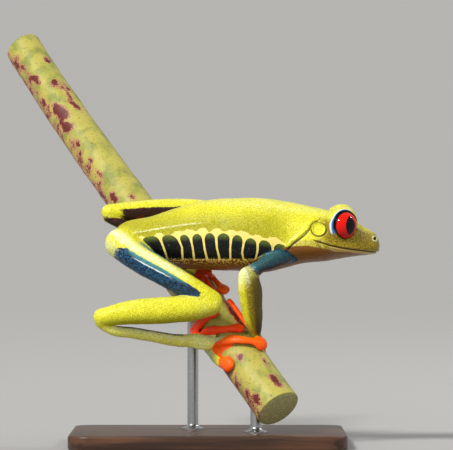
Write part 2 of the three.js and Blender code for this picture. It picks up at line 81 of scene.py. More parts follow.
# Limbs: x, distance from the mid-plane, z, radius seen from the side, radius across.
LIMBS = {
    "right": {
        "upper_arm": [
            (17.9, 5.6, 43.7, 2.4, 2.0), (14.3, 8.2, 41.8, 1.85, 1.8), (11.0, 9.6, 40.2, 1.4, 1.55),
            (8.7, 10.0, 38.6, 1.9, 1.8)],
        "forearm": [
            (8.7, 10.0, 38.4, 2.05, 1.9), (9.3, 9.3, 35.7, 2.7, 2.1), (9.7, 7.9, 32.3, 2.5, 1.9),
            (10.1, 6.0, 28.9, 2.15, 1.7), (10.5, 4.6, 26.5, 1.6, 1.35), (10.7, 3.9, 25.0, 1.15, 1.1)],
        "thigh": [
            (-19.7, 4.0, 45.6, 3.5, 3.4), (-14.6, 6.8, 41.8, 3.1, 2.9), (-7.8, 8.8, 37.9, 2.8, 2.7),
            (-3.1, 9.7, 35.1, 2.7, 2.6), (0.8, 10.0, 32.5, 2.7, 2.45)],
        "shin": [
            (0.8, 10.2, 32.0, 2.45, 2.35), (-3.5, 10.8, 31.3, 2.9, 2.7), (-9.5, 11.6, 30.8, 3.0, 2.7),
            (-17.3, 12.0, 30.3, 2.7, 2.35), (-23.6, 12.0, 29.2, 2.0, 1.8)],
        "ankle": [
            (-24.1, 11.8, 28.0, 1.1, 1.35), (-21.3, 10.6, 26.4, 1.2, 1.45),
            (-16.9, 8.7, 25.7, 1.3, 1.45), (-12.4, 6.7, 24.9, 1.3, 1.45), (-8.0, 4.6, 24.0, 1.4, 1.4),
            (-3.8, 2.9, 23.7, 1.6, 1.3)],
        "foot": [
            (-4.4, 2.9, 23.8, 1.6, 1.2), (-2.0, 3.3, 23.6, 1.85, 1.05), (0.4, 3.9, 23.2, 1.6, 0.85)],
    },
    "left": {
        "upper_arm": [
            (18.1, 5.6, 43.6, 2.4, 2.0), (14.5, 8.0, 41.6, 1.9, 1.8), (11.3, 9.4, 39.9, 1.5, 1.6),
            (9.5, 9.8, 38.4, 1.95, 1.8)],
        "forearm": [
            (9.5, 9.8, 38.1, 2.0, 1.9), (9.7, 9.3, 35.6, 2.35, 2.15), (9.7, 8.2, 32.9, 2.2, 1.9),
            (9.6, 6.6, 30.4, 1.7, 1.6), (9.5, 4.9, 28.6, 1.1, 1.2), (9.5, 4.1, 27.5, 0.9, 1.0)],
        "thigh": [
            (-19.9, 4.0, 45.5, 3.5, 3.4), (-14.8, 6.8, 47.1, 2.95, 2.8), (-7.6, 9.8, 49.4, 2.8, 2.7),
            (-2.3, 11.8, 51.2, 2.6, 2.6), (1.3, 12.6, 52.3, 2.5, 2.5)],
        "shin": [
            (1.3, 13.0, 52.6, 2.5, 2.4), (-3.7, 14.2, 52.9, 2.8, 2.6), (-9.9, 14.2, 52.8, 2.9, 2.6),
            (-16.7, 13.2, 52.6, 2.6, 2.4), (-22.6, 11.8, 52.5, 1.95, 1.8)],
        "ankle": [
            (-23.1, 11.6, 51.4, 1.1, 1.3), (-19.2, 11.6, 49.5, 1.2, 1.4),
            (-14.9, 11.5, 47.0, 1.3, 1.4), (-9.8, 10.2, 43.9, 1.4, 1.4), (-5.5, 8.6, 41.1, 1.45, 1.35),
            (-2.8, 7.6, 39.8, 1.6, 1.25)],
        "foot": [
            (-3.2, 7.7, 40.1, 1.6, 1.2), (-1.5, 7.1, 39.3, 1.7, 1.0), (0.0, 7.0, 38.7, 1.5, 0.9)],
    },
}

# Hands on the stem: distance along it, angle round it from the right side, lift, two radii.
HANDS = {
    "right": [
        (104.5, -66, 1.0, 0.9, 0.9), (105.1, -84, 0.8, 1.2, 0.7), (105.5, -102, 0.7, 1.1, 0.7)],
    "left": [
        (98.9, -102, 1.1, 0.9, 0.95), (98.9, -112, 1.0, 1.3, 0.85), (98.9, -121, 0.95, 1.1, 0.8)],
}

# Digits, innermost first: radius, disc radius, keys of distance along the stem and angle round it, and
# the height of the disc where it stands off the stem.
FINGERS = {
    "right": [
        (0.85, 1.2, [(104.2, -72), (101.4, -72), (98.2, -73), (95.4, -74), (93.8, -73)]),
        (0.55, 1.05, [(105.0, -100), (104.6, -118), (103.5, -138), (102.6, -156)]),
        (0.55, 1.05, [(105.6, -102), (106.3, -120), (107.0, -142), (107.5, -160)]),
        (0.55, 1.05, [(105.8, -108), (106.4, -128), (107.8, -146), (109.4, -162)]),
    ],
    "left": [
        (0.55, 0.85, [(98.6, -112), (96.2, -120), (93.4, -127), (91.6, -132)]),
        (0.55, 1.05, [(98.4, -116), (97.0, -134), (95.8, -154)]),
        (0.55, 1.05, [(99.0, -118), (99.3, -140), (99.1, -162)]),
        (0.55, 1.05, [(99.4, -116), (101.4, -132), (102.4, -150)]),
    ],
}
TOES = {
    "right": [
        (0.7, 1.1, [(93.8, 66), (94.6, 40), (94.6, 21), (94.4, 6)]),
        (0.75, 1.2, [(95.2, 56), (95.6, 34), (95.8, 14), (95.9, -8)]),
        (1.0, 1.45, [(97.8, 36), (99.6, 11), (101.3, -15), (102.1, -36)]),
        (1.1, 1.75, [(101.1, 34), (103.0, 13), (104.1, -3), (106.2, -30), (107.9, -58)], 1.1),
        (1.6, 1.9, [(101.2, 63), (103.8, 60), (106.3, 49), (108.1, 36)]),
    ],
    "left": [
        (0.65, 1.0, [(84.6, -30), (85.2, -12), (86.4, 0)]),
        (0.7, 1.1, [(85.0, -36), (87.2, -26), (89.0, -19)]),
        (0.7, 1.25, [(85.2, -46), (87.8, -44), (90.0, -39)]),
        (0.75, 1.6, [(84.6, -62), (86.3, -72), (88.0, -74), (89.8, -71)], 1.1),
        (0.75, 1.5, [(84.0, -66), (85.0, -90), (86.2, -112), (87.2, -132)]),
    ],
}
TOE_THICKNESS = 0.6
DISC_THICKNESS = 0.5  # as a share of the disc's radius
TOE_LIFT = 0.55
DISC_TURN = 2.5  # how strongly a raised disc turns to the side
LIMB_RINGS = 8  # for each of its keys
PALM_RINGS = 16
DIGIT_RINGS = 44
END_SHIFTS = (0.35, 0.65, 0.87, 0.98)  # of the rings that round off a limb's end, in radii

EYE_RADIUS = 3.3
EYE_CENTRE = (30.0, 7.0, 49.6)
EYE_FORWARD = math.radians(36)
BROW_CENTRE = (29.9, 5.4, 49.9)
BROW_RADII = (3.75, 3.8, 4.5)
LID_RADIUS = 4.1
LID_ANGLE = 72  # from the gaze to the rim of the lids, degrees
PUPIL_HALF_HEIGHT = 0.66  # as shares of the ball's radius
PUPIL_HALF_WIDTH = 0.4


def angles(*degrees):
    return tuple(map(math.radians, degrees))


# Rings round the gaze, as angles from it: where each ends, or starts and reaches its full strength.
IRIS_EDGE = angles(60, 63)
BLACK_ENDS = angles(65, 72)  # below the eye and above it
BLACK_CORNER = math.radians(5)  # how far the black draws back at the front corner
BLUE_END = angles(77, 3)  # each with how far it draws back above the eye
WHITE_END = angles(86.5, 8.5)
FOLDS_START = angles(82, 88)

# Seen from the side: x, z.
NOSTRIL = (37.4, 46.7)
EARDRUM = (24.7, 48.75)
EARDRUM_RADIUS = 1.4
EARDRUM_FLATNESS = 0.9  # height against length

# Lines on the side of the head and trunk, seen from the side: x, z.
MOUTH = [
    (39.2, 43.45), (37.8, 43.6), (34.2, 44.0), (31.9, 44.3), (29.7, 44.6), (27.4, 45.1), (25.2, 45.8),
    (23.2, 46.4)]
EAR_FOLD = [
    (24.4, 50.6), (23.5, 50.25), (22.9, 49.5), (22.65, 48.6), (21.65, 47.5), (20.5, 46.6),
    (19.6, 45.95), (18.5, 45.05), (17.9, 44.4)]
SNOUT_EDGE = [(33.4, 48.9), (35.4, 48.0), (36.9, 47.2)]
BACK_FOLD = [(-16.5, 47.9), (-12.9, 48.6), (-8.4, 49.3), (-4.0, 49.95), (1.0, 50.3)]

# ---- Markings, in the same view ----

STRIPE_TOP = [
    (-15.9, 46.9), (-13.4, 47.1), (-11.5, 47.5), (-8.9, 47.5), (-7.0, 47.9), (-5.3, 48.5),
    (-4.2, 48.9), (-3.8, 48.3), (-2.9, 48.3), (-1.9, 48.8), (-0.9, 49.1), (0.3, 48.2), (2.0, 48.8),
    (3.2, 48.5), (4.9, 48.2), (5.9, 48.2), (7.1, 48.5), (8.3, 48.0), (10.0, 47.4), (11.7, 47.0),
    (13.8, 46.8), (15.0, 47.0), (16.0, 46.5), (17.0, 45.9), (17.5, 45.3)]
STRIPE_FOOT = [
    (-15.9, 46.7), (-11.3, 47.3), (-9.4, 47.35), (-6.8, 47.35), (-4.2, 47.5), (-2.0, 47.7),
    (0.6, 47.85), (3.4, 47.8), (6.2, 47.5), (8.9, 46.8), (11.9, 46.4), (14.2, 45.8), (16.1, 45.4),
    (17.5, 44.9)]
STRIPE_LINES = [
    [(-10.9, 47.4), (-10.0, 45.0), (-9.1, 42.5)],
    [(-6.8, 47.4), (-5.7, 44.7), (-5.6, 42.0)],
    [(-3.9, 47.1), (-3.4, 44.7), (-3.1, 42.3)],
    [(-1.1, 47.5), (-0.7, 44.2), (-0.2, 42.3)],
    [(1.8, 47.5), (2.0, 44.7), (2.6, 42.3)],
    [(5.3, 47.7), (5.0, 44.7), (5.0, 42.0)],
    [(8.2, 47.0), (7.6, 43.5), (8.0, 42.0), (9.2, 41.3)],
    [(11.1, 46.5), (11.1, 44.0), (10.6, 42.2)],
    [(14.4, 45.9), (14.4, 45.2)],
]
STRIPE_LINE_WIDTH = 0.66
ARCH_RADIUS = 1.1  # of the bars' rounded tops
BARS_FOOT = 42.1
BARS_ENDS = (-19, 17.3)
LINE_SPACING = 4.5  # beyond the first and the last line
BELLY_EDGE = [
    (-21.6, 43.9), (-15.0, 42.6), (-6.0, 42.2), (8.0, 42.2), (12.0, 42.4), (14.5, 43.4), (16.5, 44.6),
    (18.3, 45.0), (22.5, 45.2), (26.8, 44.3), (28.2, 43.8), (33.9, 43.4), (37.5, 42.9), (39.0, 42.4)]

# ---- Shape of the stem and the stand ----

STEM_LENGTH = 122.5
STEM_TOP_RADIUS = 4.4
STEM_FOOT_RADIUS = 5.2
STEM_FOOT = np.array((15.73, -10.99, 8.9))
STEM_LEAN = np.array((0.499, -0.542, -0.6755)) / np.linalg.norm((0.499, -0.542, -0.6755))
STEM_BEND = np.array((1.0, 0.35, 0.4))
STEM_BEND_LENGTH = 54

# Maroon blotches of the stem: distance along it, angle round it, half length, half width, in mm.
STEM_BLOTCHES = [
    (25.1, 11, 3.1, 1.6), (29.4, 22, 2.0, 1.4), (16.8, -28, 1.1, 0.8), (19.4, -57, 1.4, 0.7),
    (25.3, -40, 1.6, 0.8), (9.4, -53, 0.9, 0.7), (7.4, 36, 1.1, 0.6), (35.4, 22, 0.9, 0.7),
    (46.2, 22, 1.1, 0.7), (53.2, 29, 1.4, 0.9), (56.3, -15, 0.9, 0.7), (113.7, 48, 1.1, 0.7),
    (119.8, 33, 2.0, 1.1), (108.8, 1, 0.7, 0.6), (112.5, -48, 1.1, 0.6), (118.2, -42, 1.8, 0.8),
    (20.8, -43, 2.7, 0.6), (13.0, 20, 1.4, 0.9), (41.2, 20, 0.7, 0.5), (97.5, -66, 4.5, 1.1),
    (92.0, -60, 2.0, 0.6)]
STEM_STREAK_ANGLE = 62  # the side of the stem along which the maroon gathers
STEM_BACK_ANGLE = 110  # from here round, the stem has specks only
STEM_WAVES = ((0.14, 9.0, 1.3), (0.05, 2.4, 5.1))  # height, size, seed
STEM_PARED = 0.12  # how far the bark lies inside the plain shape
STEM_RIM = 0.25  # rounding of the cut rims
CUT_RINGS = 6
CUT_RING_WIDTH = 0.65

BASE_LENGTH = 62
BASE_WIDTH = 52
BASE_HEIGHT = 3.2
ROD_RADIUS = 1.25
ROD_FOOT_RADIUS = 2.6
ROD_FOOT_HEIGHT = 1.1
ROD_PLACES = {"front": 112.5, "rear": 84}  # distance along the stem

# ---- How the parts meet ----

EVENING_ROUNDS = 5  # of smoothing all over
JUNCTION_ROUNDS = 30  # of smoothing where parts meet
JUNCTION_WIDTH = 0.7
FINE_FROM_X = 17  # the head's mesh is finer ahead of this and above the next
FINE_FROM_Z = 43
SKIN_WAVES = ((0.07, 2.6, 3.1), (0.04, 1.1, 7.7))  # height, size, seed

# Share of the toes' length that the web reaches, from the innermost gap out.
WEBS = {"right": (0.3, 0.3, 0.36, 0.66), "left": (0.3, 0.3, 0.3, 0.3)}
# Parts whose meeting is smoothed into one flowing surface.
JUNCTIONS = [("torso", "thigh"), ("torso", "upper_arm"), ("upper_arm", "forearm"), ("forearm", "hand"),
             ("shin", "ankle"), ("ankle", "foot"), ("foot", "toe"), ("hand", "finger")]
# Values of the fields where a part says nothing: far outside a marking, in mm.
NOWHERE = dict.fromkeys(("flank", "bars", "belly", "lip", "blue", "maroon_and_shade", "orange", "vein_span"), -2.0)
NOWHERE["vein"] = FAR

# ---- Stage, in metres ----

FLOOR_RADIUS = 6.0
CAMERA_PLACE = (0.0041625, -0.906, 0.049725)
CAMERA_LENS = 317.9
LIT_PLACE = (0.004, -0.006, 0.045)
KEY_PLACE = (-0.43, -0.56, 0.64)
FILL_PLACE = (0.65, 0.31, 0.6)
FRONT_PLACE = (-0.25, -1.25, 0.14)
KEY_ANGLE = math.radians(12)
KEY_COLOUR = "#fffdf8"
SKY_COLOUR = "#fdfbf7"


# ---- Settings shown in the sidebar ----


def colour_setting(name, description, default):
    """A colour of the sidebar, given as an sRGB hex code."""
    return FloatVectorProperty(name=name, description=description, default=linear(default),
                               size=4, min=0, max=1, subtype="COLOR")


def length_setting(name, description, default):
    """A length of the sidebar, given in mm."""
    return FloatProperty(name=name, description=description, default=default * MM, min=0.1 * MM,
                         unit="LENGTH", subtype="DISTANCE", precision=5)


def light_setting(name, description, default):
    return FloatProperty(name=name, description=description, default=default, min=0)


def linear(hex_code):
    """The linear RGBA colour of an sRGB hex code."""
    channels = [int(hex_code[i:i + 2], 16) / 255 for i in (1, 3, 5)]
    return (*[c / 12.92 if c <= 0.04045 else ((c + 0.055) / 1.055) ** 2.4 for c in channels], 1.0)


class SkinSettings(bpy.types.PropertyGroup):
    voxel: length_setting("Voxel", "Grid spacing on which the parts grow together", 0.2)
    triangles: IntProperty(name="Triangles", description="Most triangles that the skin keeps",
                           default=188000)
    back: colour_setting("Back", "Leaf green of the back and the outside of the legs", "#c2c200")
    back_light: colour_setting("Back, light", "Pale green between the grains of the back", "#f0ea3c")
    # Shade is painted shade: the back and legs turn olive low down and underneath, away from the light from
    # above.
    shade: colour_setting("Shade", "Olive green low on the back and legs", "#8e8800")
    # Face: partly the snout's own olive, mostly painted shade on the snout's sides, the cheeks, the
    # forearms, the near hand and the undersides of the legs; it also gives the back's dark specks.
    face: colour_setting("Face", "Olive brown of the snout, the cheeks and the undersides", "#7e5e04")
    cream: colour_setting("Cream", "Stripe and lines of the flank", "#fbe07c")
    bar: colour_setting("Bar", "Blue-black bars of the flank", "#000407")
    bar_top: colour_setting("Bar top", "Olive green at the rounded tops of the bars", "#56661c")
    # Belly: the cream throat and belly are painted a darker tan, as painted shade on the underside.
    belly: colour_setting("Belly", "Tan of the throat and belly", "#7c4c10")
    blue: colour_setting("Blue", "Hidden faces of the thighs and upper arms", "#20567f")
    teal: colour_setting("Teal", "Fringe where the blue meets the green", "#34848a")
    orange: colour_setting("Orange", "Feet and outer toes", "#fa6600")
    red: colour_setting("Red", "Inner toes, and the shaded sides of the digits", "#f83800")
    # Dusk: a near-black maroon on the inner faces of the shins, ankles and feet and under the upper arms,
    # mostly painted shade.
    maroon_and_shade: colour_setting("Dusk", "Dark maroon of the inner faces of the shins and ankles", "#280b06")
    # Pale: the skin's own on the hips, elbows, knees, cheeks and nostril rims; also a painted highlight
    # along the top of the back, the back fold, the tops of the shins and the backs of the forearms, and
    # painted light on the ankles.
    pale: colour_setting("Pale", "Granular skin of the hips, elbows and nostril rims", "#eef0bc")
    # Lid and its blue inner edge: the rims' own pale, partly a painted highlight; the lid colour also paints
    # the glint along the thighs.
    lid: colour_setting("Lid", "White rim of the lids", "#e6f0f0")
    lid_inner: colour_setting("Lid, inner", "Blue inner edge of the lids", "#3c6ca8")
    # Crease: painted shade in the bottoms of folds and grooves, in the nostrils, and on the limbs' shaded
    # faces.
    crease_shade: colour_setting("Crease", "Bottom of the folds", "#1c1403")


class EyeSettings(bpy.types.PropertyGroup):
    iris: colour_setting("Iris", "Bright red of the iris", "#ec1204")
    iris_dark: colour_setting("Iris, dark", "Deep red of the lower half and the streaks", "#7c0404")
    rim: colour_setting("Rim", "Black of the pupil and of the edge of the iris", "#050404")


class PerchSettings(bpy.types.PropertyGroup):
    light: colour_setting("Stem, light", "Pale green skin of the stem", "#b4ac50")
    dark: colour_setting("Stem, dark", "Greener clouds of the stem", "#7c883c")
    blotch: colour_setting("Blotch", "Maroon blotches of the stem", "#642420")
    blotch_edge: colour_setting("Blotch edge", "Pink-brown round the blotches", "#b47c60")
    pith: colour_setting("Pith", "Fibres at the cut ends", "#d9cfa0")


class StandSettings(bpy.types.PropertyGroup):
    corner: length_setting("Corner", "Radius of the base's corners", 5)
    bevel: length_setting("Bevel", "Rounding of the base's edges", 0.5)
    wood: colour_setting("Wood", "Walnut between its darker lines", "#5a3822")
    wood_dark: colour_setting("Wood, dark", "Dark lines of the walnut", "#2e1a0f")
    steel: colour_setting("Steel", "Brushed steel of the rods", "#b9bcc0")


class StageSettings(bpy.types.PropertyGroup):
    floor: colour_setting("Floor", "Plain pale floor", "#afafaf")
    key: light_setting("Key", "Strength of the main light, in watts per square metre", 3.0)
    fill: light_setting("Fill", "Power of the light behind the snout, in watts", 1.6)
    front: light_setting("Front", "Power of the broad light from the front, in watts", 3.4)
    sky: light_setting("Sky", "Strength of the light from all round", 0.475)


# ---- Helpers: numbers ----


def smooth_table(rows):
    """A smooth function of the first column of a table, giving its other columns."""
    rows = np.array(rows, float)
    keys, values = rows[:, 0], rows[:, 1:]
    slopes = np.gradient(values, keys, axis=0)

    def at(x):
        x = np.clip(np.asarray(x, float), keys[0], keys[-1])
        i = np.clip(np.searchsorted(keys, x, side="right") - 1, 0, len(keys) - 2)
        step = (keys[i + 1] - keys[i])[..., None]
        t = (x - keys[i])[..., None] / step
        return ((1 + 2 * t) * (1 - t) ** 2 * values[i] + t * (1 - t) ** 2 * step * slopes[i]
                + t * t * (3 - 2 * t) * values[i + 1] + t * t * (t - 1) * step * slopes[i + 1])

    return at


def smoothstep(low, high, x):
    t = np.clip((x - low) / (high - low), 0, 1)
    return t * t * (3 - 2 * t)


def bell(x, width):
    return np.exp(-(x / width) ** 2)


def unit(vectors):
    return vectors / np.maximum(np.linalg.norm(vectors, axis=-1, keepdims=True), 1e-9)


def dot(a, b):
    return np.sum(a * b, axis=-1)


def square_to(tangents, axis):
    """Unit vectors square to each tangent that lie nearest to the axis, and those square to both."""
    up = unit(axis - dot(axis, tangents)[..., None] * tangents)
    return up, np.cross(up, tangents)


def walk(keys, count):
    """Even steps along a smooth path whose keys begin with a place: rows, tangents and distances."""
    keys = np.array(keys, float)
    length = np.concatenate(([0], np.cumsum(np.linalg.norm(np.diff(keys[:, :3], axis=0), axis=1))))
    at = smooth_table(np.column_stack((length, keys)))
    s = np.linspace(0, length[-1], count)
    ahead = at(np.minimum(s + 0.05, length[-1]))[:, :3] - at(np.maximum(s - 0.05, 0))[:, :3]
    return at(s), unit(ahead), s


def line_distance(x, z, line):
    """Distance of points to a line of straight pieces, both seen from the side."""
    best = np.full(len(x), 1e3)
    for (x0, z0), (x1, z1) in zip(line, line[1:]):
        dx, dz = x1 - x0, z1 - z0
        t = np.clip(((x - x0) * dx + (z - z0) * dz) / (dx * dx + dz * dz), 0, 1)
        best = np.minimum(best, np.hypot(x - x0 - t * dx, z - z0 - t * dz))
    return best


def height_of(line, x):
    """Height of a line seen from the side at x; its points may run either way."""
    xs, zs = np.array(sorted(line)).T
    return np.interp(x, xs, zs)


def mirrored(point, sign):
    return np.array((point[0], point[1] * sign, point[2]))


# ---- Helpers: meshes ----


def ring_matrix(centre, across, up, tangent, a, b):
    """Carries a unit circle to an ellipse round a path."""
    columns = np.column_stack((across * a, up * b, tangent, centre))
    return Matrix(columns.tolist() + [[0, 0, 0, 1]])


def loft(rings, sides):
    """A closed tube through rings, each given as the matrix that carries a unit circle there."""
    bm = bmesh.new()
    bmesh.ops.create_circle(bm, segments=sides, radius=1, matrix=rings[0])
    edges = bm.edges[:]
    for before, after in zip(rings, rings[1:]):
        made = bmesh.ops.extrude_edge_only(bm, edges=edges)["geom"]
        verts = {item for item in made if isinstance(item, bmesh.types.BMVert)}
        edges = [item for item in made
                 if isinstance(item, bmesh.types.BMEdge) and verts.issuperset(item.verts)]
        bmesh.ops.transform(bm, matrix=after @ before.inverted(), verts=list(verts))
    bmesh.ops.holes_fill(bm, edges=bm.edges[:], sides=0)
    bmesh.ops.recalc_face_normals(bm, faces=bm.faces[:])
    return bm


def object_from(data, name):
    made = bpy.data.objects.new(name, data)
    bpy.context.scene.collection.objects.link(made)
    return made


def piece_from(bm, name):
    """An object of a bmesh, shaded smooth."""
    mesh = bpy.data.meshes.new(name)
    bm.to_mesh(mesh)
    bm.free()
    mesh.shade_smooth()
    return object_from(mesh, name)


def bevel(bm, edges, offset, segments):
    bmesh.ops.bevel(bm, geom=edges, offset=offset, segments=segments, profile=0.5,
                    affect="EDGES", material=-1)


def apply_modifiers(piece):
    graph = bpy.context.evaluated_depsgraph_get()
    mesh = bpy.data.meshes.new_from_object(piece.evaluated_get(graph))
    piece.modifiers.clear()
    piece.data = mesh


def read(items, what, width, kind=float):
    flat = np.empty(len(items) * width, kind)
    items.foreach_get(what, flat)
    return flat.reshape(-1, width)


def write_places(mesh, places):
    mesh.vertices.foreach_set("co", places.ravel())
    mesh.update()


def write_field(mesh, name, values):
    mesh.attributes.new(name, "FLOAT", "POINT").data.foreach_set("value", np.asarray(values, float))


def relaxed(places, edges, weight, rounds):
    """Moves each vertex part of the way to the mean of its neighbours, a number of times."""
    degree = np.bincount(edges.ravel(), minlength=len(places))[:, None]
    for _ in range(rounds):
        total = np.zeros_like(places)
        for near, far in ((0, 1), (1, 0)):
            for axis in range(3):
                total[:, axis] += np.bincount(edges[:, near], places[edges[:, far], axis], len(places))
        places = places + weight * (total / degree - places)
    return places


def finish_piece(piece, slot, material, *nodes):
    """Puts a piece in the frame: it rides on the body and stands for its CAD nodes."""
    piece.data.materials.append(material)
    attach(piece, "root")
    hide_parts(*nodes)


# ---- Helpers: materials ----


def math_operator(name):
    """A Python operator that adds the math node of the given name to a wire."""
    return lambda wire, other=0.0: wire.nodes.math(name, wire, other)


class Wire:
    """An output of a node; sums, products and powers of wires add the math nodes that they stand for."""

    __add__, __sub__, __mul__ = map(math_operator, ("ADD", "SUBTRACT", "MULTIPLY"))
    __truediv__, __pow__, __abs__ = map(math_operator, ("DIVIDE", "POWER", "ABSOLUTE"))

    def __init__(self, nodes, socket):
        self.nodes, self.socket = nodes, socket

    def __rsub__(self, number):
        return self.nodes.math("SUBTRACT", number, self)


class Nodes:
    """The node tree of a new material, with the few kinds of node that all of them share."""

    def __init__(self, name):
        self.material = bpy.data.materials.new(name)
        self.material.use_nodes = True
        self.tree = self.material.node_tree
        self.place = self.add("ShaderNodeTexCoord", "Object")

    def new(self, kind, inputs, **settings):
        made = self.tree.nodes.new(kind)
        for name, value in settings.items():
            setattr(made, name, value)
        self.feed(made, inputs)
        return made

    def add(self, kind, output, inputs=None, **settings):
        """Adds a node and gives the wire of one of its outputs."""
        return Wire(self, self.new(kind, inputs or {}, **settings).outputs[output])

    def feed(self, node, inputs):
        """Sets each input to its number, vector or colour, or links it to its wire."""
        for name, value in inputs.items():
            if isinstance(value, Wire):
                self.tree.links.new(value.socket, node.inputs[name])
            elif isinstance(value, (int, float)):
                node.inputs[name].default_value = value
            else:
                node.inputs[name].default_value = tuple(value)

    def finish(self, **inputs):
        """Feeds the surface: an input's underscores stand for spaces."""
        inputs = {name.replace("_", " "): value for name, value in inputs.items()}
        self.feed(self.tree.nodes["Principled BSDF"], inputs)
        return self.material

    def field(self, name):
        return self.add("ShaderNodeAttribute", "Fac", attribute_name=name)

    def math(self, operation, a, b=0.0):
        return self.add("ShaderNodeMath", 0, {0: a, 1: b}, operation=operation)

    def least(self, a, b):
        return self.math("MINIMUM", a, b)

    def most(self, a, b):
        return self.math("MAXIMUM", a, b)

    def step(self, value, low, high, to_low=0.0, to_high=1.0):
        """Eases from one value to another while the input goes from low to high."""
        inputs = {"Value": value, "From Min": low, "From Max": high, "To Min": to_low, "To Max": to_high}
        return self.add("ShaderNodeMapRange", "Result", inputs, interpolation_type="SMOOTHSTEP")

    def mix(self, factor, a, b):
        return self.add("ShaderNodeMix", 2, {0: factor, 6: a, 7: b}, data_type="RGBA")

    def noise(self, size, detail=2.0, place=None, distortion=0.0):
        """Clouds of the given size in mm, between 0 and 1."""
        inputs = {"Vector": place or self.place, "Scale": 1 / (size * MM), "Detail": detail,
                  "Distortion": distortion}
        return self.add("ShaderNodeTexNoise", "Fac", inputs)

    def grains(self, size):
        """Distance to the middle of the nearest grain; grains are of the given size in mm."""
        inputs = {"Vector": self.place, "Scale": 1 / (size * MM)}
        return self.add("ShaderNodeTexVoronoi", "Distance", inputs, feature="F1")

    def bump(self, height, depth):
        """Relief of the given depth in mm."""
        inputs = {"Height": height, "Distance": depth * MM, "Strength": 1.0}
        return self.add("ShaderNodeBump", "Normal", inputs)

    def scaled(self, scale):
        return self.add("ShaderNodeMapping", 0, {"Vector": self.place, "Scale": scale})

    def split(self, vector):
        made = self.new("ShaderNodeSeparateXYZ", {"Vector": vector})
        return [Wire(self, socket) for socket in made.outputs]

    def vector_math(self, operation, a, b=(0, 0, 0), output=0):
        return self.add("ShaderNodeVectorMath", output, {0: a, 1: b}, operation=operation)

    def round_eye(self):
        """From the nearer eye: the direction's shares forward, along the gaze and up, and distance in mm."""
        x, y, z = self.split(self.place)
        folded = self.add("ShaderNodeCombineXYZ", 0, {"X": x, "Y": abs(y - FROG_Y * MM), "Z": z})
        centred = self.vector_math("SUBTRACT", folded, tuple(c * MM for c in EYE_CENTRE))
        turned = self.add("ShaderNodeVectorRotate", 0, {"Vector": centred, "Angle": EYE_FORWARD},
                          rotation_type="Z_AXIS")
        direction = self.vector_math("NORMALIZE", turned)
        return self.split(direction), self.vector_math("LENGTH", turned, output="Value") / MM


# ---- The stem's own coordinates ----


def stem_radius(s):
    return STEM_TOP_RADIUS + (STEM_FOOT_RADIUS - STEM_TOP_RADIUS) * np.asarray(s) / STEM_LENGTH


STEM_UP, STEM_ACROSS = square_to(STEM_LEAN, np.array((0.0, -1.0, 0.0)))
STEM_ACROSS = -STEM_ACROSS


def stem_axis(s):
    s = np.asarray(s, float)
    bend = np.maximum(0, 1 - s / STEM_BEND_LENGTH) ** 3
    return STEM_FOOT + (s - STEM_LENGTH)[..., None] * STEM_LEAN + bend[..., None] * STEM_BEND


def stem_normal(degrees):
    angle = np.radians(degrees)
    return np.cos(angle)[..., None] * STEM_UP + np.sin(angle)[..., None] * STEM_ACROSS


def on_stem(s, degrees, lift):
    return stem_axis(s) + (stem_radius(s) + lift)[..., None] * stem_normal(np.asarray(degrees, float))


# ---- Flesh: the parts under the skin ----

torso_at = smooth_table(TORSO)


def end_rounding(x):
    past = np.maximum((x - SNOUT_X + SNOUT_ROUND) / SNOUT_ROUND, (TAIL_X + RUMP_ROUND - x) / RUMP_ROUND)
    return np.sqrt(np.maximum(0, 1 - np.maximum(0, past) ** 2))


def torso_bm(rings=130, sides=88):
    """Trunk and head: a tube of unit circles along x, then each vertex moved to its section."""
    t = (1 - np.cos(np.linspace(0.02, 0.985, rings) * math.pi)) / 2
    turn = Matrix(((0, 0, 1), (1, 0, 0), (0, 1, 0))).to_4x4()
    bm = loft([Matrix.Translation((x, 0, 0)) @ turn for x in TAIL_X + t * (SNOUT_X - TAIL_X)], sides)
    for vert in bm.verts:
        x, c, s = vert.co
        top, bottom, half_width, middle = torso_at(x)
        size = float(end_rounding(x))
        power = 2 / BACK_SQUARENESS if s > 0 else 1
        height = top - middle if s > 0 else middle - bottom
        vert.co.y = math.copysign(abs(c) ** power, c) * half_width * size
        vert.co.z = middle + math.copysign(abs(s) ** power, s) * height * size
    return bm


def torso_distance(points):
    """About how far points lie outside the trunk and head."""
    x, y, z = points.T
    top, bottom, half_width, middle = torso_at(x).T
    size = np.maximum(end_rounding(x), 0.05)
    height = np.where(z > middle, top - middle, middle - bottom)
    power = np.where(z > middle, BACK_SQUARENESS, 2)
    share = np.abs(y / (half_width * size)) ** power + np.abs((z - middle) / (height * size)) ** power
    share = share ** (1 / power)
    beyond = np.maximum(0, np.maximum(x - SNOUT_X, TAIL_X - x))
    return np.hypot(y, z - middle) * (1 - 1 / np.maximum(share, 0.01)) + beyond


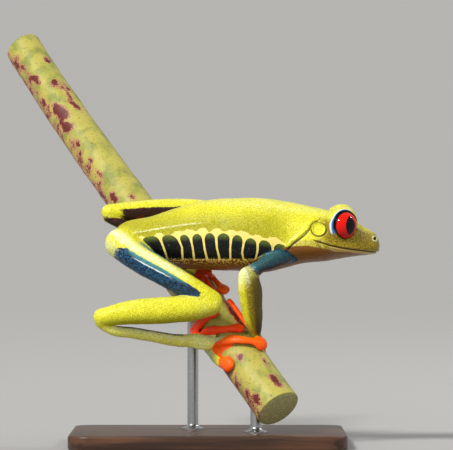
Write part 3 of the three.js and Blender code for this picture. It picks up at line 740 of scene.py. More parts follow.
class Strand:
    """A limb, palm, finger or toe: elliptic rings along a path."""

    def __init__(self, kind, side, rows, tangents, axis, index=0):
        self.kind, self.side, self.index = kind, side, index
        self.places, self.a, self.b = rows[:, :3], rows[:, 3], rows[:, 4]
        self.tangents = tangents
        self.up, self.across = square_to(tangents, axis)

    def ring(self, i, shift=0.0):
        """Ring i, or one pushed past the end by a share of the radius as the end rounds off."""
        size = math.sqrt(1 - shift * shift)
        centre = self.places[i] + self.tangents[i] * shift * min(self.a[i], self.b[i])
        return ring_matrix(centre, self.across[i], self.up[i], self.tangents[i],
                           self.a[i] * size, self.b[i] * size)

    def bm(self, sides=26):
        """The part as a tube; the ends of limbs and palms are rounded off."""
        last = len(self.places) - 1
        rings = [self.ring(i) for i in range(last + 1)]
        if self.kind not in ("finger", "toe"):
            rings = ([self.ring(0, -s) for s in reversed(END_SHIFTS)] + rings
                     + [self.ring(last, s) for s in END_SHIFTS])
        return loft(rings, sides)

    def near(self, points):
        """Of the points near this part: which, distance, share of the length, facing and tangent."""
        reach = max(self.a.max(), self.b.max()) + 2
        low, high = self.places.min(axis=0) - reach, self.places.max(axis=0) + reach
        which = np.flatnonzero(((points > low) & (points < high)).all(axis=1))
        offset = points[which, None] - self.places
        nearest = np.argmin(np.sum(offset**2, axis=2), axis=1)
        offset = offset[np.arange(len(which)), nearest]
        across = dot(offset, self.across[nearest])
        up = dot(offset, self.up[nearest])
        along = dot(offset, self.tangents[nearest])
        share = np.maximum(np.hypot(across / self.a[nearest], up / self.b[nearest]), 1e-3)
        edge = np.hypot(across, up) / share
        beyond = np.where((nearest == 0) | (nearest == len(self.places) - 1), np.abs(along), 0)
        distance = np.hypot(np.hypot(across, up), beyond) - edge
        facing = unit(self.across[nearest] * (across / self.a[nearest])[:, None]
                      + self.up[nearest] * (up / self.b[nearest])[:, None])
        return which, distance, nearest / (len(self.places) - 1), facing, self.tangents[nearest]


def limb_strand(kind, side):
    sign = SIDES[side]
    keys = [(x, y * sign, z, a, b) for x, y, z, a, b in LIMBS[side][kind]]
    rows, tangents, _ = walk(keys, LIMB_RINGS * len(keys))
    return Strand(kind, side, rows, tangents, np.array((0.0, 1.0, 0.0)))


def palm_strand(side):
    s, angle, lift, a, b = np.array(HANDS[side], float).T
    rows, tangents, _ = walk(np.column_stack((on_stem(s, angle, lift), a, b, angle)), PALM_RINGS)
    return Strand("hand", side, rows, tangents, stem_normal(rows[:, 5]))


def digit_strand(kind, side, index, root, radius, disc, keys, disc_lift=TOE_LIFT):
    """A finger or toe from its root to the far edge of the disc at its tip."""
    s, angle = np.array(keys, float).T
    ahead = np.array((s[-1] - s[-2], math.radians(angle[-1] - angle[-2]) * stem_radius(s[-1])))
    ahead *= disc / np.linalg.norm(ahead)
    tip = on_stem(s[-1] + ahead[0], angle[-1] + math.degrees(ahead[1] / stem_radius(s[-1])), disc_lift)
    lift = np.linspace(TOE_LIFT, disc_lift, len(s))
    rows, tangents, s = walk(np.vstack((root, on_stem(s, angle, lift), tip)), DIGIT_RINGS)
    left = s[-1] - s
    chord = np.sqrt(np.maximum(0, disc**2 - (left - disc) ** 2))
    waist = radius * (0.84 + 0.16 * smoothstep(2 * disc, 5 * disc, left))
    width = np.where(left < disc, chord, np.maximum(waist, chord))
    width = np.convolve(np.pad(width, 2, mode="edge"), (0.15, 0.2, 0.3, 0.2, 0.15), mode="valid")
    bulge = max(0, DISC_THICKNESS * disc - TOE_THICKNESS) * smoothstep(2.4 * disc, 1.2 * disc, left)
    thick = np.minimum(TOE_THICKNESS + bulge, 0.15 + 1.1 * np.sqrt(left / disc))
    rows = np.column_stack((rows, np.maximum(width, 0.12), np.maximum(thick, 0.1)))
    offset = rows[:, :3] - STEM_FOOT
    outward = unit(offset - dot(offset, STEM_LEAN)[:, None] * STEM_LEAN)
    turn = DISC_TURN * (disc_lift - TOE_LIFT) * smoothstep(2.4 * disc, 0.8 * disc, left)
    outward = unit(outward - turn[:, None] * np.array((0.0, 1.0, 0.0)))
    return Strand(kind, side, rows, tangents, outward, index)


def strands():
    """Every limb, palm, finger and toe."""
    made = []
    for side, sign in SIDES.items():
        made += [limb_strand(kind, side) for kind in LIMBS[side]]
        made.append(palm_strand(side))
        s, angle, lift = HANDS[side][1][:3]
        knuckle = on_stem(s, angle, lift - 0.2)
        instep = mirrored(LIMBS[side]["foot"][1][:3], sign)
        for i, finger in enumerate(FINGERS[side]):
            made.append(digit_strand("finger", side, i, knuckle, *finger))
        for i, toe in enumerate(TOES[side]):
            made.append(digit_strand("toe", side, i, instep, *toe))
    return made


def web_bm(one, other, reach, thickness=0.28, overlap=0.2, sides=24):
    """The skin between the roots of two neighbouring toes."""
    count = max(3, round(reach * len(one.places)))
    tangents = unit(one.tangents[:count] + other.tangents[:count])
    middle = (one.places[:count] + other.places[:count]) / 2
    gap = other.places[:count] - one.places[:count]
    across = unit(gap - dot(gap, tangents)[:, None] * tangents)
    up = np.cross(tangents, across)
    half = np.linalg.norm(gap, axis=1) / 2 + overlap
    return loft([ring_matrix(middle[i], across[i], up[i], tangents[i], half[i], thickness)
                 for i in range(1, count)], sides)


def ball_bm(centre, radii, segments=64):
    bm = bmesh.new()
    place = Matrix.Translation(centre.tolist()) @ Matrix.Diagonal((*radii, 1))
    bmesh.ops.create_uvsphere(bm, u_segments=segments, v_segments=segments * 2 // 3, radius=1,
                              matrix=place)
    return bm


def joined(parts):
    """One bmesh of several."""
    whole = bmesh.new()
    for part in parts:
        mesh = bpy.data.meshes.new("part")
        part.to_mesh(mesh)
        part.free()
        whole.from_mesh(mesh)
        bpy.data.meshes.remove(mesh)
    return whole


def flesh_bm(limbs):
    parts = [torso_bm()] + [strand.bm() for strand in limbs]
    for sign in SIDES.values():
        parts.append(ball_bm(mirrored(BROW_CENTRE, sign), BROW_RADII))
        parts.append(ball_bm(mirrored(EYE_CENTRE, sign), (LID_RADIUS,) * 3))
    toes = {side: [s for s in limbs if s.kind == "toe" and s.side == side] for side in SIDES}
    for side, reaches in WEBS.items():
        for i, reach in enumerate(reaches):
            parts.append(web_bm(toes[side][i], toes[side][i + 1], reach))
    return joined(parts)


# ---- Skin: relief ----

LIDS_OPEN = 0.7  # how far the skin over the ball draws back into it
RIM_HEIGHT = 0.2  # of the rolled rim over the rest of the lid
LID_FOLDS = (13, 28)  # folds of the lower lid, in degrees from its rim, and the ridge between them
LID_RIDGE = 20


def gaze(sign):
    return np.array((math.sin(EYE_FORWARD), sign * math.cos(EYE_FORWARD), 0))


def round_eye(points, sign):
    """Offset and distance of points from an eye's centre, and their angle from its gaze in degrees."""
    offset = points - mirrored(EYE_CENTRE, sign)
    distance = np.linalg.norm(offset, axis=1)
    return offset, distance, np.degrees(np.arccos(np.clip(dot(offset, gaze(sign)) / distance, -1, 1)))


def eye_distance(points):
    """Distance of points from the centre of the nearer eye."""
    return np.min([round_eye(points, sign)[1] for sign in SIDES.values()], axis=0)


def lower_lid(offset, distance, reach):
    """1 on the skin below an eye and up to some way outside the ball."""
    below = smoothstep(-0.6, -1.6, offset[:, 2]) * smoothstep(-2.8, -1.2, offset[:, 0])
    return below * (distance < EYE_RADIUS + reach)


def side_distance(points, place, flatness=1.0):
    """Distance of points from a place that is given as seen from the side, in rings as flat as asked."""
    x, y, z = points.T
    return np.hypot(x - place[0], (z - place[1]) / flatness) + FAR * (np.abs(y) < 1.5)


def carve_lids(points):
    """Opens the lids over each eye and rolls their rims."""
    points = points.copy()
    for sign in SIDES.values():
        offset, distance, angle = round_eye(points, sign)
        past = angle - LID_ANGLE
        inner = EYE_RADIUS - LIDS_OPEN + 1.12 * smoothstep(-6, 0, past)
        lip = EYE_RADIUS + 0.34 + RIM_HEIGHT * np.sin(math.pi * np.clip(past / 10, 0, 1))
        outer = lip + (np.maximum(distance, lip - 0.1) - lip) * smoothstep(4, 22, past)
        target = np.where(past < 0, inner, outer)
        share = smoothstep(EYE_RADIUS + 1.9, EYE_RADIUS + 0.85, distance) * (angle < LID_ANGLE + 22)
        points += offset * (share * (target / distance - 1))[:, None]
    return points


def relief(points, facing):
    """How far the skin stands out for its folds, lips, eardrums and nostrils."""
    x, y, z = points.T
    head = x > 21.5
    side_on = smoothstep(0.25, 0.6, np.abs(facing[:, 1]) + np.maximum(0, facing[:, 0]))

    mouth = z - height_of(MOUTH, x)
    lips = -0.26 * bell(mouth, 0.16) + 0.12 * bell(mouth + 0.42, 0.24) + 0.1 * bell(mouth - 0.36, 0.24)
    height = smoothstep(22.6, 24.2, x) * side_on * head * lips

    ear_fold = line_distance(x, z, EAR_FOLD) * np.sign(z - 50.6 + (24.4 - x) * 0.9)
    near_fold = side_on * (x > 16.5) * (x < 27.5)
    height += near_fold * (0.3 * bell(ear_fold - 0.55, 0.55) - 0.24 * bell(ear_fold + 0.1, 0.22))

    height += 0.22 * bell(line_distance(x, z, SNOUT_EDGE), 0.5) * head * side_on
    back_fold = bell(line_distance(x, z, BACK_FOLD), 0.55)
    height += 0.2 * back_fold * (np.abs(facing[:, 1]) > 0.1) * (np.abs(y) < 10)

    ear, nostril = side_distance(points, EARDRUM, EARDRUM_FLATNESS), side_distance(points, NOSTRIL)
    height += 0.17 * bell(ear - EARDRUM_RADIUS, 0.2) - 0.14 * smoothstep(EARDRUM_RADIUS, 1.1, ear)
    height -= 0.1 * bell(ear - EARDRUM_RADIUS - 0.42, 0.2)
    height += 0.14 * bell(nostril - 0.52, 0.2) - 0.6 * bell(nostril, 0.26)
    for sign in SIDES.values():
        offset, distance, angle = round_eye(points, sign)
        past = angle - LID_ANGLE
        folds = 0.2 * bell(past - LID_FOLDS[0], 3) + 0.2 * bell(past - LID_FOLDS[1], 4)
        height -= lower_lid(offset, distance, 3) * (folds - 0.1 * bell(past - LID_RIDGE, 4))
    return height


def swells(points, waves):
    """Soft uneven waves over a surface; each row of waves is a height, a size and a seed."""
    total = np.zeros(len(points))
    for height, size, seed in waves:
        offset = Vector((seed, seed * 1.7, -seed))
        total += height * np.array([noise.noise(Vector(p) / size + offset) for p in points.tolist()])
    return total


def junction_weight(points, limbs):
    """Where a limb grows out of the trunk or of the limb before it."""
    nearest = {"torso": np.maximum(torso_distance(points), 0)}
    for strand in limbs:
        which, distance, *_ = strand.near(points)
        far = nearest.setdefault(strand.kind + strand.side, np.full(len(points), FAR))
        far[which] = np.minimum(far[which], np.maximum(distance, 0))
    weight = np.zeros(len(points))
    for side in SIDES:
        for pair in JUNCTIONS:
            one, other = (nearest[name if name == "torso" else name + side] for name in pair)
            weight = np.maximum(weight, np.exp(-(one + other) / JUNCTION_WIDTH))
    return weight[:, None]


# ---- Skin: markings ----

# Fields that the material reads only on the trunk, so no limb has a say in them.
TRUNK_FIELDS = ("stripe_top", "bar_depth", "phase", "gap")
FIELDS = (*TRUNK_FIELDS, "flank", "bars", "belly", "granules", "lip", "shade", "face", "blue", "teal",
          "vein", "vein_span", "maroon_and_shade", "orange", "red", "pale", "crease_shade")
BLEND = 0.3  # width over which the markings of neighbouring parts blend, in mm
LIMB_SAY = 1.6  # weight of a limb's markings against the trunk's


def line_phase(x, z):
    """How many lines of the flank lie up to each point, with the share between two, and their spacing."""
    at = np.array([height_of([(b, a) for a, b in line], z) for line in STRIPE_LINES])
    at = np.vstack((at[:1] - LINE_SPACING, at, at[-1:] + LINE_SPACING))
    i = np.clip(np.sum(x > at, axis=0) - 1, 0, len(at) - 2)
    column = np.arange(len(x))
    share = (x - at[i, column]) / (at[i + 1, column] - at[i, column])
    spacing = np.gradient(at, axis=0)
    return i + share, spacing[i, column] * (1 - share) + spacing[i + 1, column] * share


def torso_markings(points, facing):
    """Markings of the trunk and head."""
    x, y, z = points.T
    top, foot = height_of(STRIPE_TOP, x), height_of(STRIPE_FOOT, x)
    mouth, belly_edge = height_of(MOUTH, x), height_of(BELLY_EDGE, x)
    side_on = smoothstep(0.2, 0.6, np.abs(facing[:, 1]))
    ear, nostril = side_distance(points, EARDRUM, EARDRUM_FLATNESS), side_distance(points, NOSTRIL)
    jaw_rear = smoothstep(-0.2, 0.5, np.minimum(46.6 - z, x - 18.5)) * (z > belly_edge) * (x < 27)

    mark = {name: np.full(len(points), NOWHERE.get(name, 0.0)) for name in FIELDS}
    mark["stripe_top"], mark["bar_depth"] = top - z, foot - z
    mark["phase"], mark["gap"] = line_phase(x, z)
    mark["flank"] = np.minimum(x - STRIPE_TOP[0][0], STRIPE_TOP[-1][0] - x)
    rear, front = BARS_ENDS
    mark["bars"] = np.min((top - z, foot + 0.5 - z, z - BARS_FOOT, x - rear, front - x), axis=0)
    mark["belly"] = belly_edge - z
    mark["granules"] = smoothstep(15, 10, x)
    mark["lip"] = np.min((mouth - 0.12 - z, z - belly_edge, (x - 27) / 3), axis=0)
    # Painted shade: the back turns olive lower down the flank, behind the head.
    mark["shade"] = 0.8 * smoothstep(54.6, 49.5, z) * smoothstep(21, 13, x)

    # Painted shade: the snout's sides below its edge, the cheeks and the rear of the jaw turn olive brown,
    # facing away from the light.
    face = smoothstep(-1.0, 0.9, 49.7 - 0.3 * (x - 31) - z) * smoothstep(22.5, 28, x)
    face += 0.5 * jaw_rear * (face < 0.5)
    mark["face"] = face * smoothstep(EARDRUM_RADIUS - 0.1, EARDRUM_RADIUS + 0.2, ear)

    pale = 0.6 * smoothstep(-16.5, -20.5, x) * smoothstep(49.5, 46, z)
    # Painted highlights: a pale sheen along the top of the back and a thin pale line on the back fold.
    pale += 0.36 * smoothstep(51.8, 54.6, z + 0.1 * (x - 8))
    pale += 0.7 * bell(line_distance(x, z, BACK_FOLD), 0.2) * smoothstep(1, -3, x)
    mark["pale"] = pale + (0.25 * jaw_rear + 0.9 * bell(nostril - 0.55, 0.17))

    # Painted shade: dark lines in the nostrils, round the eardrums, under the ear folds, along the mouth and
    # in the folds under the eyes.
    lines = [
        1.3 * bell(nostril, 0.33),
        0.9 * bell(ear - EARDRUM_RADIUS - 0.3, 0.2) * (0.6 + 0.4 * (z < EARDRUM[1])),
        0.8 * bell(line_distance(x, z, EAR_FOLD), 0.2) * side_on * (x > 16.5) * (x < 25),
        1.1 * bell(z - mouth, 0.16) * smoothstep(22.8, 24.5, x),
    ]
    for sign in SIDES.values():
        offset, distance, angle = round_eye(points, sign)
        lines.append(0.85 * lower_lid(offset, distance, 2) * bell(angle - LID_ANGLE - LID_FOLDS[0], 3))
    mark["crease_shade"] = np.max(lines, axis=0)
    return mark


def thigh_markings(rise, outer, t):
    """Blue with a green stripe that widens into the knee; rise is 1 on the upper edge."""
    half = 0.3 + 0.06 * t + 1.9 * smoothstep(0.86, 1.02, t)
    stripe = 2.8 * (half - np.abs(rise - 0.68)) - 2 * smoothstep(-0.2, -0.4, outer) * (t < 0.85)
    fringe = smoothstep(-0.3, 0.1, -stripe) * smoothstep(1.0, 0.3, -stripe)
    hip = smoothstep(-0.2, 0.6, rise)
    return {
        "blue": np.minimum(-stripe, 24 * (t - (0.05 + 0.1 * hip))),
        # painted glint: a thin broken white highlight along the outer side of the thigh
        "vein": 2.8 * (rise - 0.06) + 9.0 * (outer < 0),
        "vein_span": 25 * (0.22 - np.abs(t - 0.42)),
        "pale": 0.5 * smoothstep(0.16, 0.02, t) * smoothstep(0.9, -0.2, rise)
                + 0.8 * smoothstep(-0.3, 0.7, stripe) * smoothstep(0.95, 0.5, t),
        "teal": 0.95 * fringe * smoothstep(0.85, 0.6, t) * smoothstep(0.1, 0.24, t)
                + 0.4 * smoothstep(0.14, 0.02, t) * smoothstep(0.3, -0.4, rise),
        # painted shade at the knee end: olive underneath and dark off the stripe
        "shade": 0.6 * smoothstep(0.1, -0.8, rise) * smoothstep(0.7, 0.9, t),
        "crease_shade": 0.5 * smoothstep(0.4, 0.85, t) * smoothstep(0.3, -0.3, stripe),
    }


def toe_markings(rise, forward, t, index, near):
    """Orange from the root out, with a green root on the two outer toes of the near foot."""
    orange = 16 * (t - 0.04)
    if near and index == 3:
        orange = 18 * (t - 0.27 - 0.16 * rise)
    if near and index == 4:
        orange = np.maximum(1.2 * (forward + rise - 0.8), 12 * (t - 0.66))
    return {
        "orange": np.minimum(orange, 2),
        "pale": 0.6 * smoothstep(0.7, 0.1, t),
        "teal": 0.6 * bell(t - 0.3, 0.3),
        # red: the inner toes' own red, with painted shade on every toe's underside
        "red": (0.75 if index < 3 else 0.05) + 0.35 * smoothstep(0.3, -0.5, rise),
        # painted shade on the far foot's toes, towards their roots
        "crease_shade": 0.45 * smoothstep(0.7, 0.4, t) * (not near),
    }


def limb_markings(strand, t, facing, tangents):
    """Markings of a limb, palm or digit, from the share t of its length and its facing."""
    upward, _ = square_to(tangents, np.array((0.0, 0.0, 1.0)))
    rise = dot(facing, upward)
    forward, outer = facing[:, 0], facing[:, 1] * SIDES[strand.side]
    kind, near = strand.kind, strand.side == "right"
    if kind == "thigh":
        return thigh_markings(rise, outer, t)
    if kind == "toe":
        return toe_markings(rise, forward, t, strand.index, near)
    if kind == "shin":
        # Shin: olive and brown on the underside and maroon on the inner face are painted shade; the pale
        # along the top is a painted highlight, and by the knee the skin's own.
        return {"maroon_and_shade": np.minimum(2.5 * np.minimum(-outer - 0.2, 0.4 - rise), 8 * (0.9 - t)),
                "shade": 0.8 * smoothstep(0.1, -0.9, rise), "face": 0.3 * smoothstep(-0.5, -1, rise),
                "pale": 0.3 * smoothstep(0.3, 0.0, t) * (outer > -0.2)
                        + 0.3 * smoothstep(0.4, 0.95, rise)}
    if kind == "ankle":
        # Ankle: the blue band on top is its own; the maroon inner face is painted shade, and its cream,
        # partly its own, is strengthened as painted light against the shin's shadow.
        return {"blue": np.minimum(1.4 * (rise - 0.72), 20 * (t - 0.05)), "maroon_and_shade": 1.4 * (-outer - 0.3),
                "pale": 0.42 + 0.3 * bell(rise - 0.4, 0.3)}
    # Near foot: its own cream and teal, with painted shade on the inner face.
    if kind == "foot" and near:
        return {"pale": 0.5, "teal": 0.5 * bell(rise - 0.75, 0.3), "maroon_and_shade": 1.4 * (-outer - 0.4),
                "orange": -0.3}
    # The near hand: olive with dark creases in place of its orange, as painted shade.
    if kind == "hand" and near:
        return {"face": 1, "crease_shade": 0.3, "orange": -1}
    # The far foot and hand: red with dark creases, as painted shade.
    if kind in ("foot", "hand"):
        return {"orange": 1, "red": 1, "crease_shade": 0.5}
    if kind == "finger":
        # Finger roots: olive and dark as painted shade, orange beyond.
        root = smoothstep(0.55, 0.2, t)
        return {"orange": 1.2 - 1.8 * root, "face": root, "red": 0.5, "crease_shade": 0.25 * root}
    if kind == "upper_arm":
        # Upper arm: its own blue and teal, with painted shade as maroon underneath and dark mottling; the
        # pale elbow is its own.
        return {"blue": 8 * (0.9 - t), "teal": 0.5 + 0.3 * rise, "maroon_and_shade": 1.2 * (-rise - 0.5), "belly": 1,
                "pale": 0.1 + 0.7 * smoothstep(0.75, 0.95, t), "crease_shade": 0.55 * smoothstep(1.0, 0.7, t)}
    # Forearm: the olive brown of the front and wrist and the dark along the front are painted shade, and the
    # pale back is a painted highlight; the pale at the elbow end is its own.
    return {"face": np.maximum(smoothstep(-0.6, 0.0, forward), 0.8 * smoothstep(0.6, 0.9, t)),
            "pale": 0.6 * smoothstep(0.3, -0.1, t) * (forward < 0.3)
                    + 0.3 * smoothstep(-0.5, -0.9, forward),
            "crease_shade": 0.62 * smoothstep(-0.2, 0.45, forward) + 0.2 * smoothstep(0.6, 0.9, t)}


def markings(points, facing, limbs):
    """The fields that the skin's material reads, one value a vertex."""
    share = np.exp(-np.maximum(torso_distance(points), 0) / BLEND)
    near_eye = eye_distance(points) < LID_RADIUS + 1.2
    share[near_eye] = 1
    total = share.copy()
    trunk = torso_markings(points, facing)
    fields = {name: values * share for name, values in trunk.items()}
    for strand in limbs:
        which, distance, t, ring_facing, tangents = strand.near(points)
        weight = np.exp(-np.maximum(distance, 0) / BLEND) * (~near_eye[which]) * LIMB_SAY
        total[which] += weight
        marks = limb_markings(strand, t, ring_facing, tangents)
        for name in FIELDS:
            fields[name][which] += weight * marks.get(name, NOWHERE.get(name, 0.0))
    fields = {name: values / total for name, values in fields.items()}
    return fields | {name: trunk[name] for name in TRUNK_FIELDS}


# ---- Materials ----


def skin_material(paint):
    """Moist granular skin: it gives the eye its colours, a fine grain and small soft highlights."""
    n = Nodes("moist_frog_skin")
    field = SimpleNamespace(**{name: n.field(name) for name in FIELDS})
    fine, cloud, broad, grain = n.noise(0.28), n.noise(1.1, 3), n.noise(4.5, 2), n.grains(0.42)

    def covered(value, low, high, ragged, texture=cloud):
        """The share of a marking, with its edge made ragged by a texture."""
        return n.step(value + (texture - 0.5) * ragged, low, high)

    # Back, face and belly, with painted shade low on the back, on the snout and cheeks, and under the throat
    # and belly.
    colour = n.mix(n.step(fine, 0.36, 0.62), paint.back, paint.back_light)
    colour = n.mix(n.step(broad, 0.42, 0.75, 0, 0.35), colour, paint.back_light)
    colour = n.mix(n.step(n.noise(0.2, 2), 0.52, 0.72, 0, 0.35), colour, paint.face)
    # Painted shade, low on the back and under the legs.
    colour = n.mix(field.shade * n.step(fine, 0.3, 0.6, 1.0, 0.75), colour, paint.shade)
    # Painted shade: olive brown on the snout, cheeks, forearms and undersides, with darker specks in it.
    colour = n.mix(n.step(field.face, 0, 1) * n.step(fine, 0.7, 0.3, 0.65, 1), colour, paint.face)
    colour = n.mix(n.step(n.noise(0.24, 2), 0.5, 0.68, 0, 0.6) * field.face, colour, paint.crease_shade)
    # The tan of the throat and belly is painted shade over cream skin; the cream granules are the skin's
    # own.
    granules = n.step(grain - n.step(field.belly, 2.2, 0.0, 0.04, 0.45), 0.0, 0.14, 0.95, 0.0)
    belly = n.mix(granules * field.granules, paint.belly, paint.cream)
    colour = n.mix(covered(field.belly, -0.1, 0.15, 0.5, fine), colour, belly)

    # Bars of the flank, with the cream stripe and lines round their arched tops.
    bar = n.mix(n.step(field.bar_depth + cloud * 0.8, 0.3, 2.1), paint.bar_top, paint.bar)
    bar = n.mix(n.step(grain + field.bars * 0.5, 0.15, 0.4, 1, 0), bar, paint.cream)
    colour = n.mix(covered(field.bars, 0.0, 0.12, 0.25, fine), colour, bar)
    half_width = n.step(field.bar_depth, 2.2, -0.2, STRIPE_LINE_WIDTH / 2, 0.7 * STRIPE_LINE_WIDTH)
    line = half_width - n.math("PINGPONG", field.phase, 0.5) * field.gap
    line = n.least(line, field.bars + 0.35)
    band = n.least(n.least(field.stripe_top, field.bar_depth * -1.0), field.flank)
    band, line = (n.most(part + ARCH_RADIUS, 0.0) for part in (band, line))
    cream = n.math("SQRT", band * band + line * line) - ARCH_RADIUS
    colour = n.mix(covered(cream, 0.06, 0.14, 0.2), colour, paint.cream)
    colour = n.mix(n.step(field.lip, -0.05, 0.1), colour, n.mix(0.6, paint.cream, paint.belly))

    # Limbs, with painted shade on their inner faces and undersides, and a painted glint along the thighs.
    blue = n.mix(n.step(n.noise(0.35, 3), 0.38, 0.62), paint.bar, paint.blue)
    colour = n.mix(covered(field.blue, -0.08, 0.12, 0.6), colour, blue)
    colour = n.mix(covered(field.teal, 0.1, 0.9, 1.1, fine) * 0.85, colour, paint.teal)
    # Painted glint: a thin white highlight along each thigh.
    vein = n.step(abs(field.vein + (cloud - 0.5) * 0.35), 0.17, 0.08) * n.step(field.vein_span, 0.0, 3.0)
    colour = n.mix(vein * 0.85, colour, paint.lid)
    # Maroon of the inner faces and undersides, mostly painted shade.
    maroon_and_shade = n.mix(n.step(cloud, 0.5, 0.75, 0, 0.1), paint.maroon_and_shade, paint.red)
    colour = n.mix(covered(field.maroon_and_shade, -0.1, 0.2, 0.5), colour, maroon_and_shade)
    orange = n.mix(n.least(field.red + n.step(cloud, 0.5, 0.7, 0, 0.25), 1.0), paint.orange, paint.red)
    colour = n.mix(covered(field.orange, -0.15, 0.15, 1.2), colour, orange)
    bare = n.step(field.orange, 0.3, -0.1) * n.step(field.maroon_and_shade, 0.3, -0.1)
    # Pale granular skin, which also lays the painted highlights and the painted light on the ankles.
    colour = n.mix(covered(field.pale, 0.15, 1.0, 0.6, grain) * bare * 0.9, colour, paint.pale)
    # Painted shade in the folds and grooves and on the limbs' shaded faces.
    colour = n.mix(covered(field.crease_shade, 0.1, 0.9, 0.5, fine) * 0.9, colour, paint.crease_shade)

    # Rims of the lids: black, then blue, then white, by the angle from the gaze. The black is painted shade
    # where the lids meet the ball; the blue and white are the rims' own pale, brightened as a painted
    # highlight on the top and rear.
    (forward, ahead, high), distance = n.round_eye()
    off_axis = n.math("ARCCOSINE", ahead)
    on_lid = n.step(distance, EYE_RADIUS + 1.0, EYE_RADIUS + 0.8)
    raised = n.step(high, 0.1, 0.6)
    corner = n.step(forward, 0.0, 0.4, 0.0, BLACK_CORNER) * n.step(high, 0.4, 0.1)
    black_end = n.step(high, -0.5, -0.15, *BLACK_ENDS) - corner
    blue_end, white_end = (end - raised * less for end, less in (BLUE_END, WHITE_END))
    # The rims' painted highlight lies only on the top and rear of each eye.
    rim = n.step(white_end - off_axis, 0.0, 0.05) * on_lid * n.step(high, -0.6, -0.35)
    rim = rim * n.step(high * 0.65 - forward * 0.9, 0.0, 0.35)
    rim_colour = n.mix(n.step(off_axis - blue_end, -0.02, 0.02), paint.lid_inner, paint.lid)
    colour = n.mix(rim, colour, rim_colour)
    # Painted shade: black on the lids' inner walls, where they meet the ball.
    colour = n.mix(n.step(black_end - off_axis, -0.02, 0.02) * on_lid, colour, paint.bar)

    # Fine relief: grains, and folds of the skin above the eyes.
    above = n.step(high, 0.1, 0.5) * n.step(distance, EYE_RADIUS + 1.7, EYE_RADIUS + 1.2)
    folds = n.math("SINE", off_axis * 70.0) * (above * n.step(off_axis, *FOLDS_START)) * 0.5
    grit = n.step(grain, 0.0, 0.5, 1, 0) * 0.6 + fine * 0.5
    return n.finish(Base_Color=colour, Roughness=n.step(cloud, 0.3, 0.7, 0.36, 0.48),
                    Normal=n.bump(grit + folds, 0.1), Specular_IOR_Level=0.3,
                    Coat_Weight=0.06, Coat_Roughness=0.25, Subsurface_Weight=0.06,
                    Subsurface_Radius=(1.0, 0.6, 0.25), Subsurface_Scale=0.6 * MM)


def eye_material(paint):
    """Wet cornea over a red iris with an upright slit of a pupil, seen as one glossy ball."""
    n = Nodes("wet_eye")
    (wide, ahead, high), _ = n.round_eye()
    slit = (1.0 - abs(high / PUPIL_HALF_HEIGHT) ** 2.1) * PUPIL_HALF_WIDTH - abs(wide)
    streaks = n.step(n.noise(0.22, 4, distortion=1.5), 0.35, 0.7, 0, 0.35)
    iris = n.mix(streaks + n.step(high, 0.35, -0.75, 0, 0.5), paint.iris, paint.iris_dark)
    edge = n.step(n.math("ARCCOSINE", ahead), *IRIS_EDGE)
    colour = n.mix(n.most(edge, n.step(slit, -0.02, 0.02)), iris, paint.rim)
    return n.finish(Base_Color=colour, Roughness=0.22, Specular_IOR_Level=0.0,
                    Coat_Weight=1.0, Coat_Roughness=0.02, Coat_IOR=1.34)


def stem_material(paint):
    """Waxy green plant skin with maroon blotches and a fine lengthwise grain."""
    n = Nodes("waxy_stem")
    fine, cloud = n.noise(0.35, 3), n.noise(2.2, 3)
    inside = n.field("blotch") + ((cloud - 0.5) * 2.6 + (fine - 0.5) * 1.6)
    skin = n.mix(n.step(n.noise(3.5, 4), 0.4, 0.7), paint.light, paint.dark)
    skin = n.mix(n.step(fine, 0.35, 0.75, 0, 0.35), skin, paint.light)
    skin = n.mix(n.step(inside, -0.35, 0.05), skin, paint.blotch_edge)
    skin = n.mix(n.step(inside, 0.0, 0.3), skin, paint.blotch)
    specks = n.most(n.step(n.grains(1.3), 0.05, 0.14, 0.7, 0), n.step(n.noise(0.6, 3), 0.6, 0.7, 0, 0.5))
    skin = n.mix(specks, skin, paint.blotch)
    ends = n.mix(n.step(n.grains(0.5), 0.1, 0.5, 0, 0.6), paint.pith, paint.dark)
    return n.finish(Base_Color=n.mix(n.field("pith"), skin, ends), Roughness=0.5,
                    Normal=n.bump(fine * 0.4 + cloud * 0.6, 0.12), Specular_IOR_Level=0.4)


def wood_material(paint):
    """Oiled walnut: dark lines along the length and a low sheen."""
    n = Nodes("oiled_walnut")
    lengthwise = n.scaled((0.08, 1.0, 1.0))
    grain, pores = n.noise(2.4, 6, lengthwise, 0.6), n.noise(0.35, 2, lengthwise)
    colour = n.mix(n.step(grain, 0.35, 0.65), paint.wood, paint.wood_dark)
    colour = n.mix(n.step(pores, 0.6, 0.75, 0, 0.5), colour, paint.wood_dark)
    return n.finish(Base_Color=colour, Roughness=0.38, Normal=n.bump(pores, 0.03))


def steel_material(paint):
    """Brushed steel: bright, with soft streaks round the rod."""
    n = Nodes("brushed_steel")
    brush = n.noise(0.12, 2, n.scaled((0.1, 0.1, 1.0)))
    return n.finish(Base_Color=paint.steel, Metallic=1.0, Roughness=n.step(brush, 0.3, 0.7, 0.22, 0.34))


def floor_material(paint):
    """Matt painted board: even and pale."""
    return Nodes("matt_floor").finish(Base_Color=paint.floor, Roughness=0.9, Specular_IOR_Level=0.1)


# ---- Pieces ----


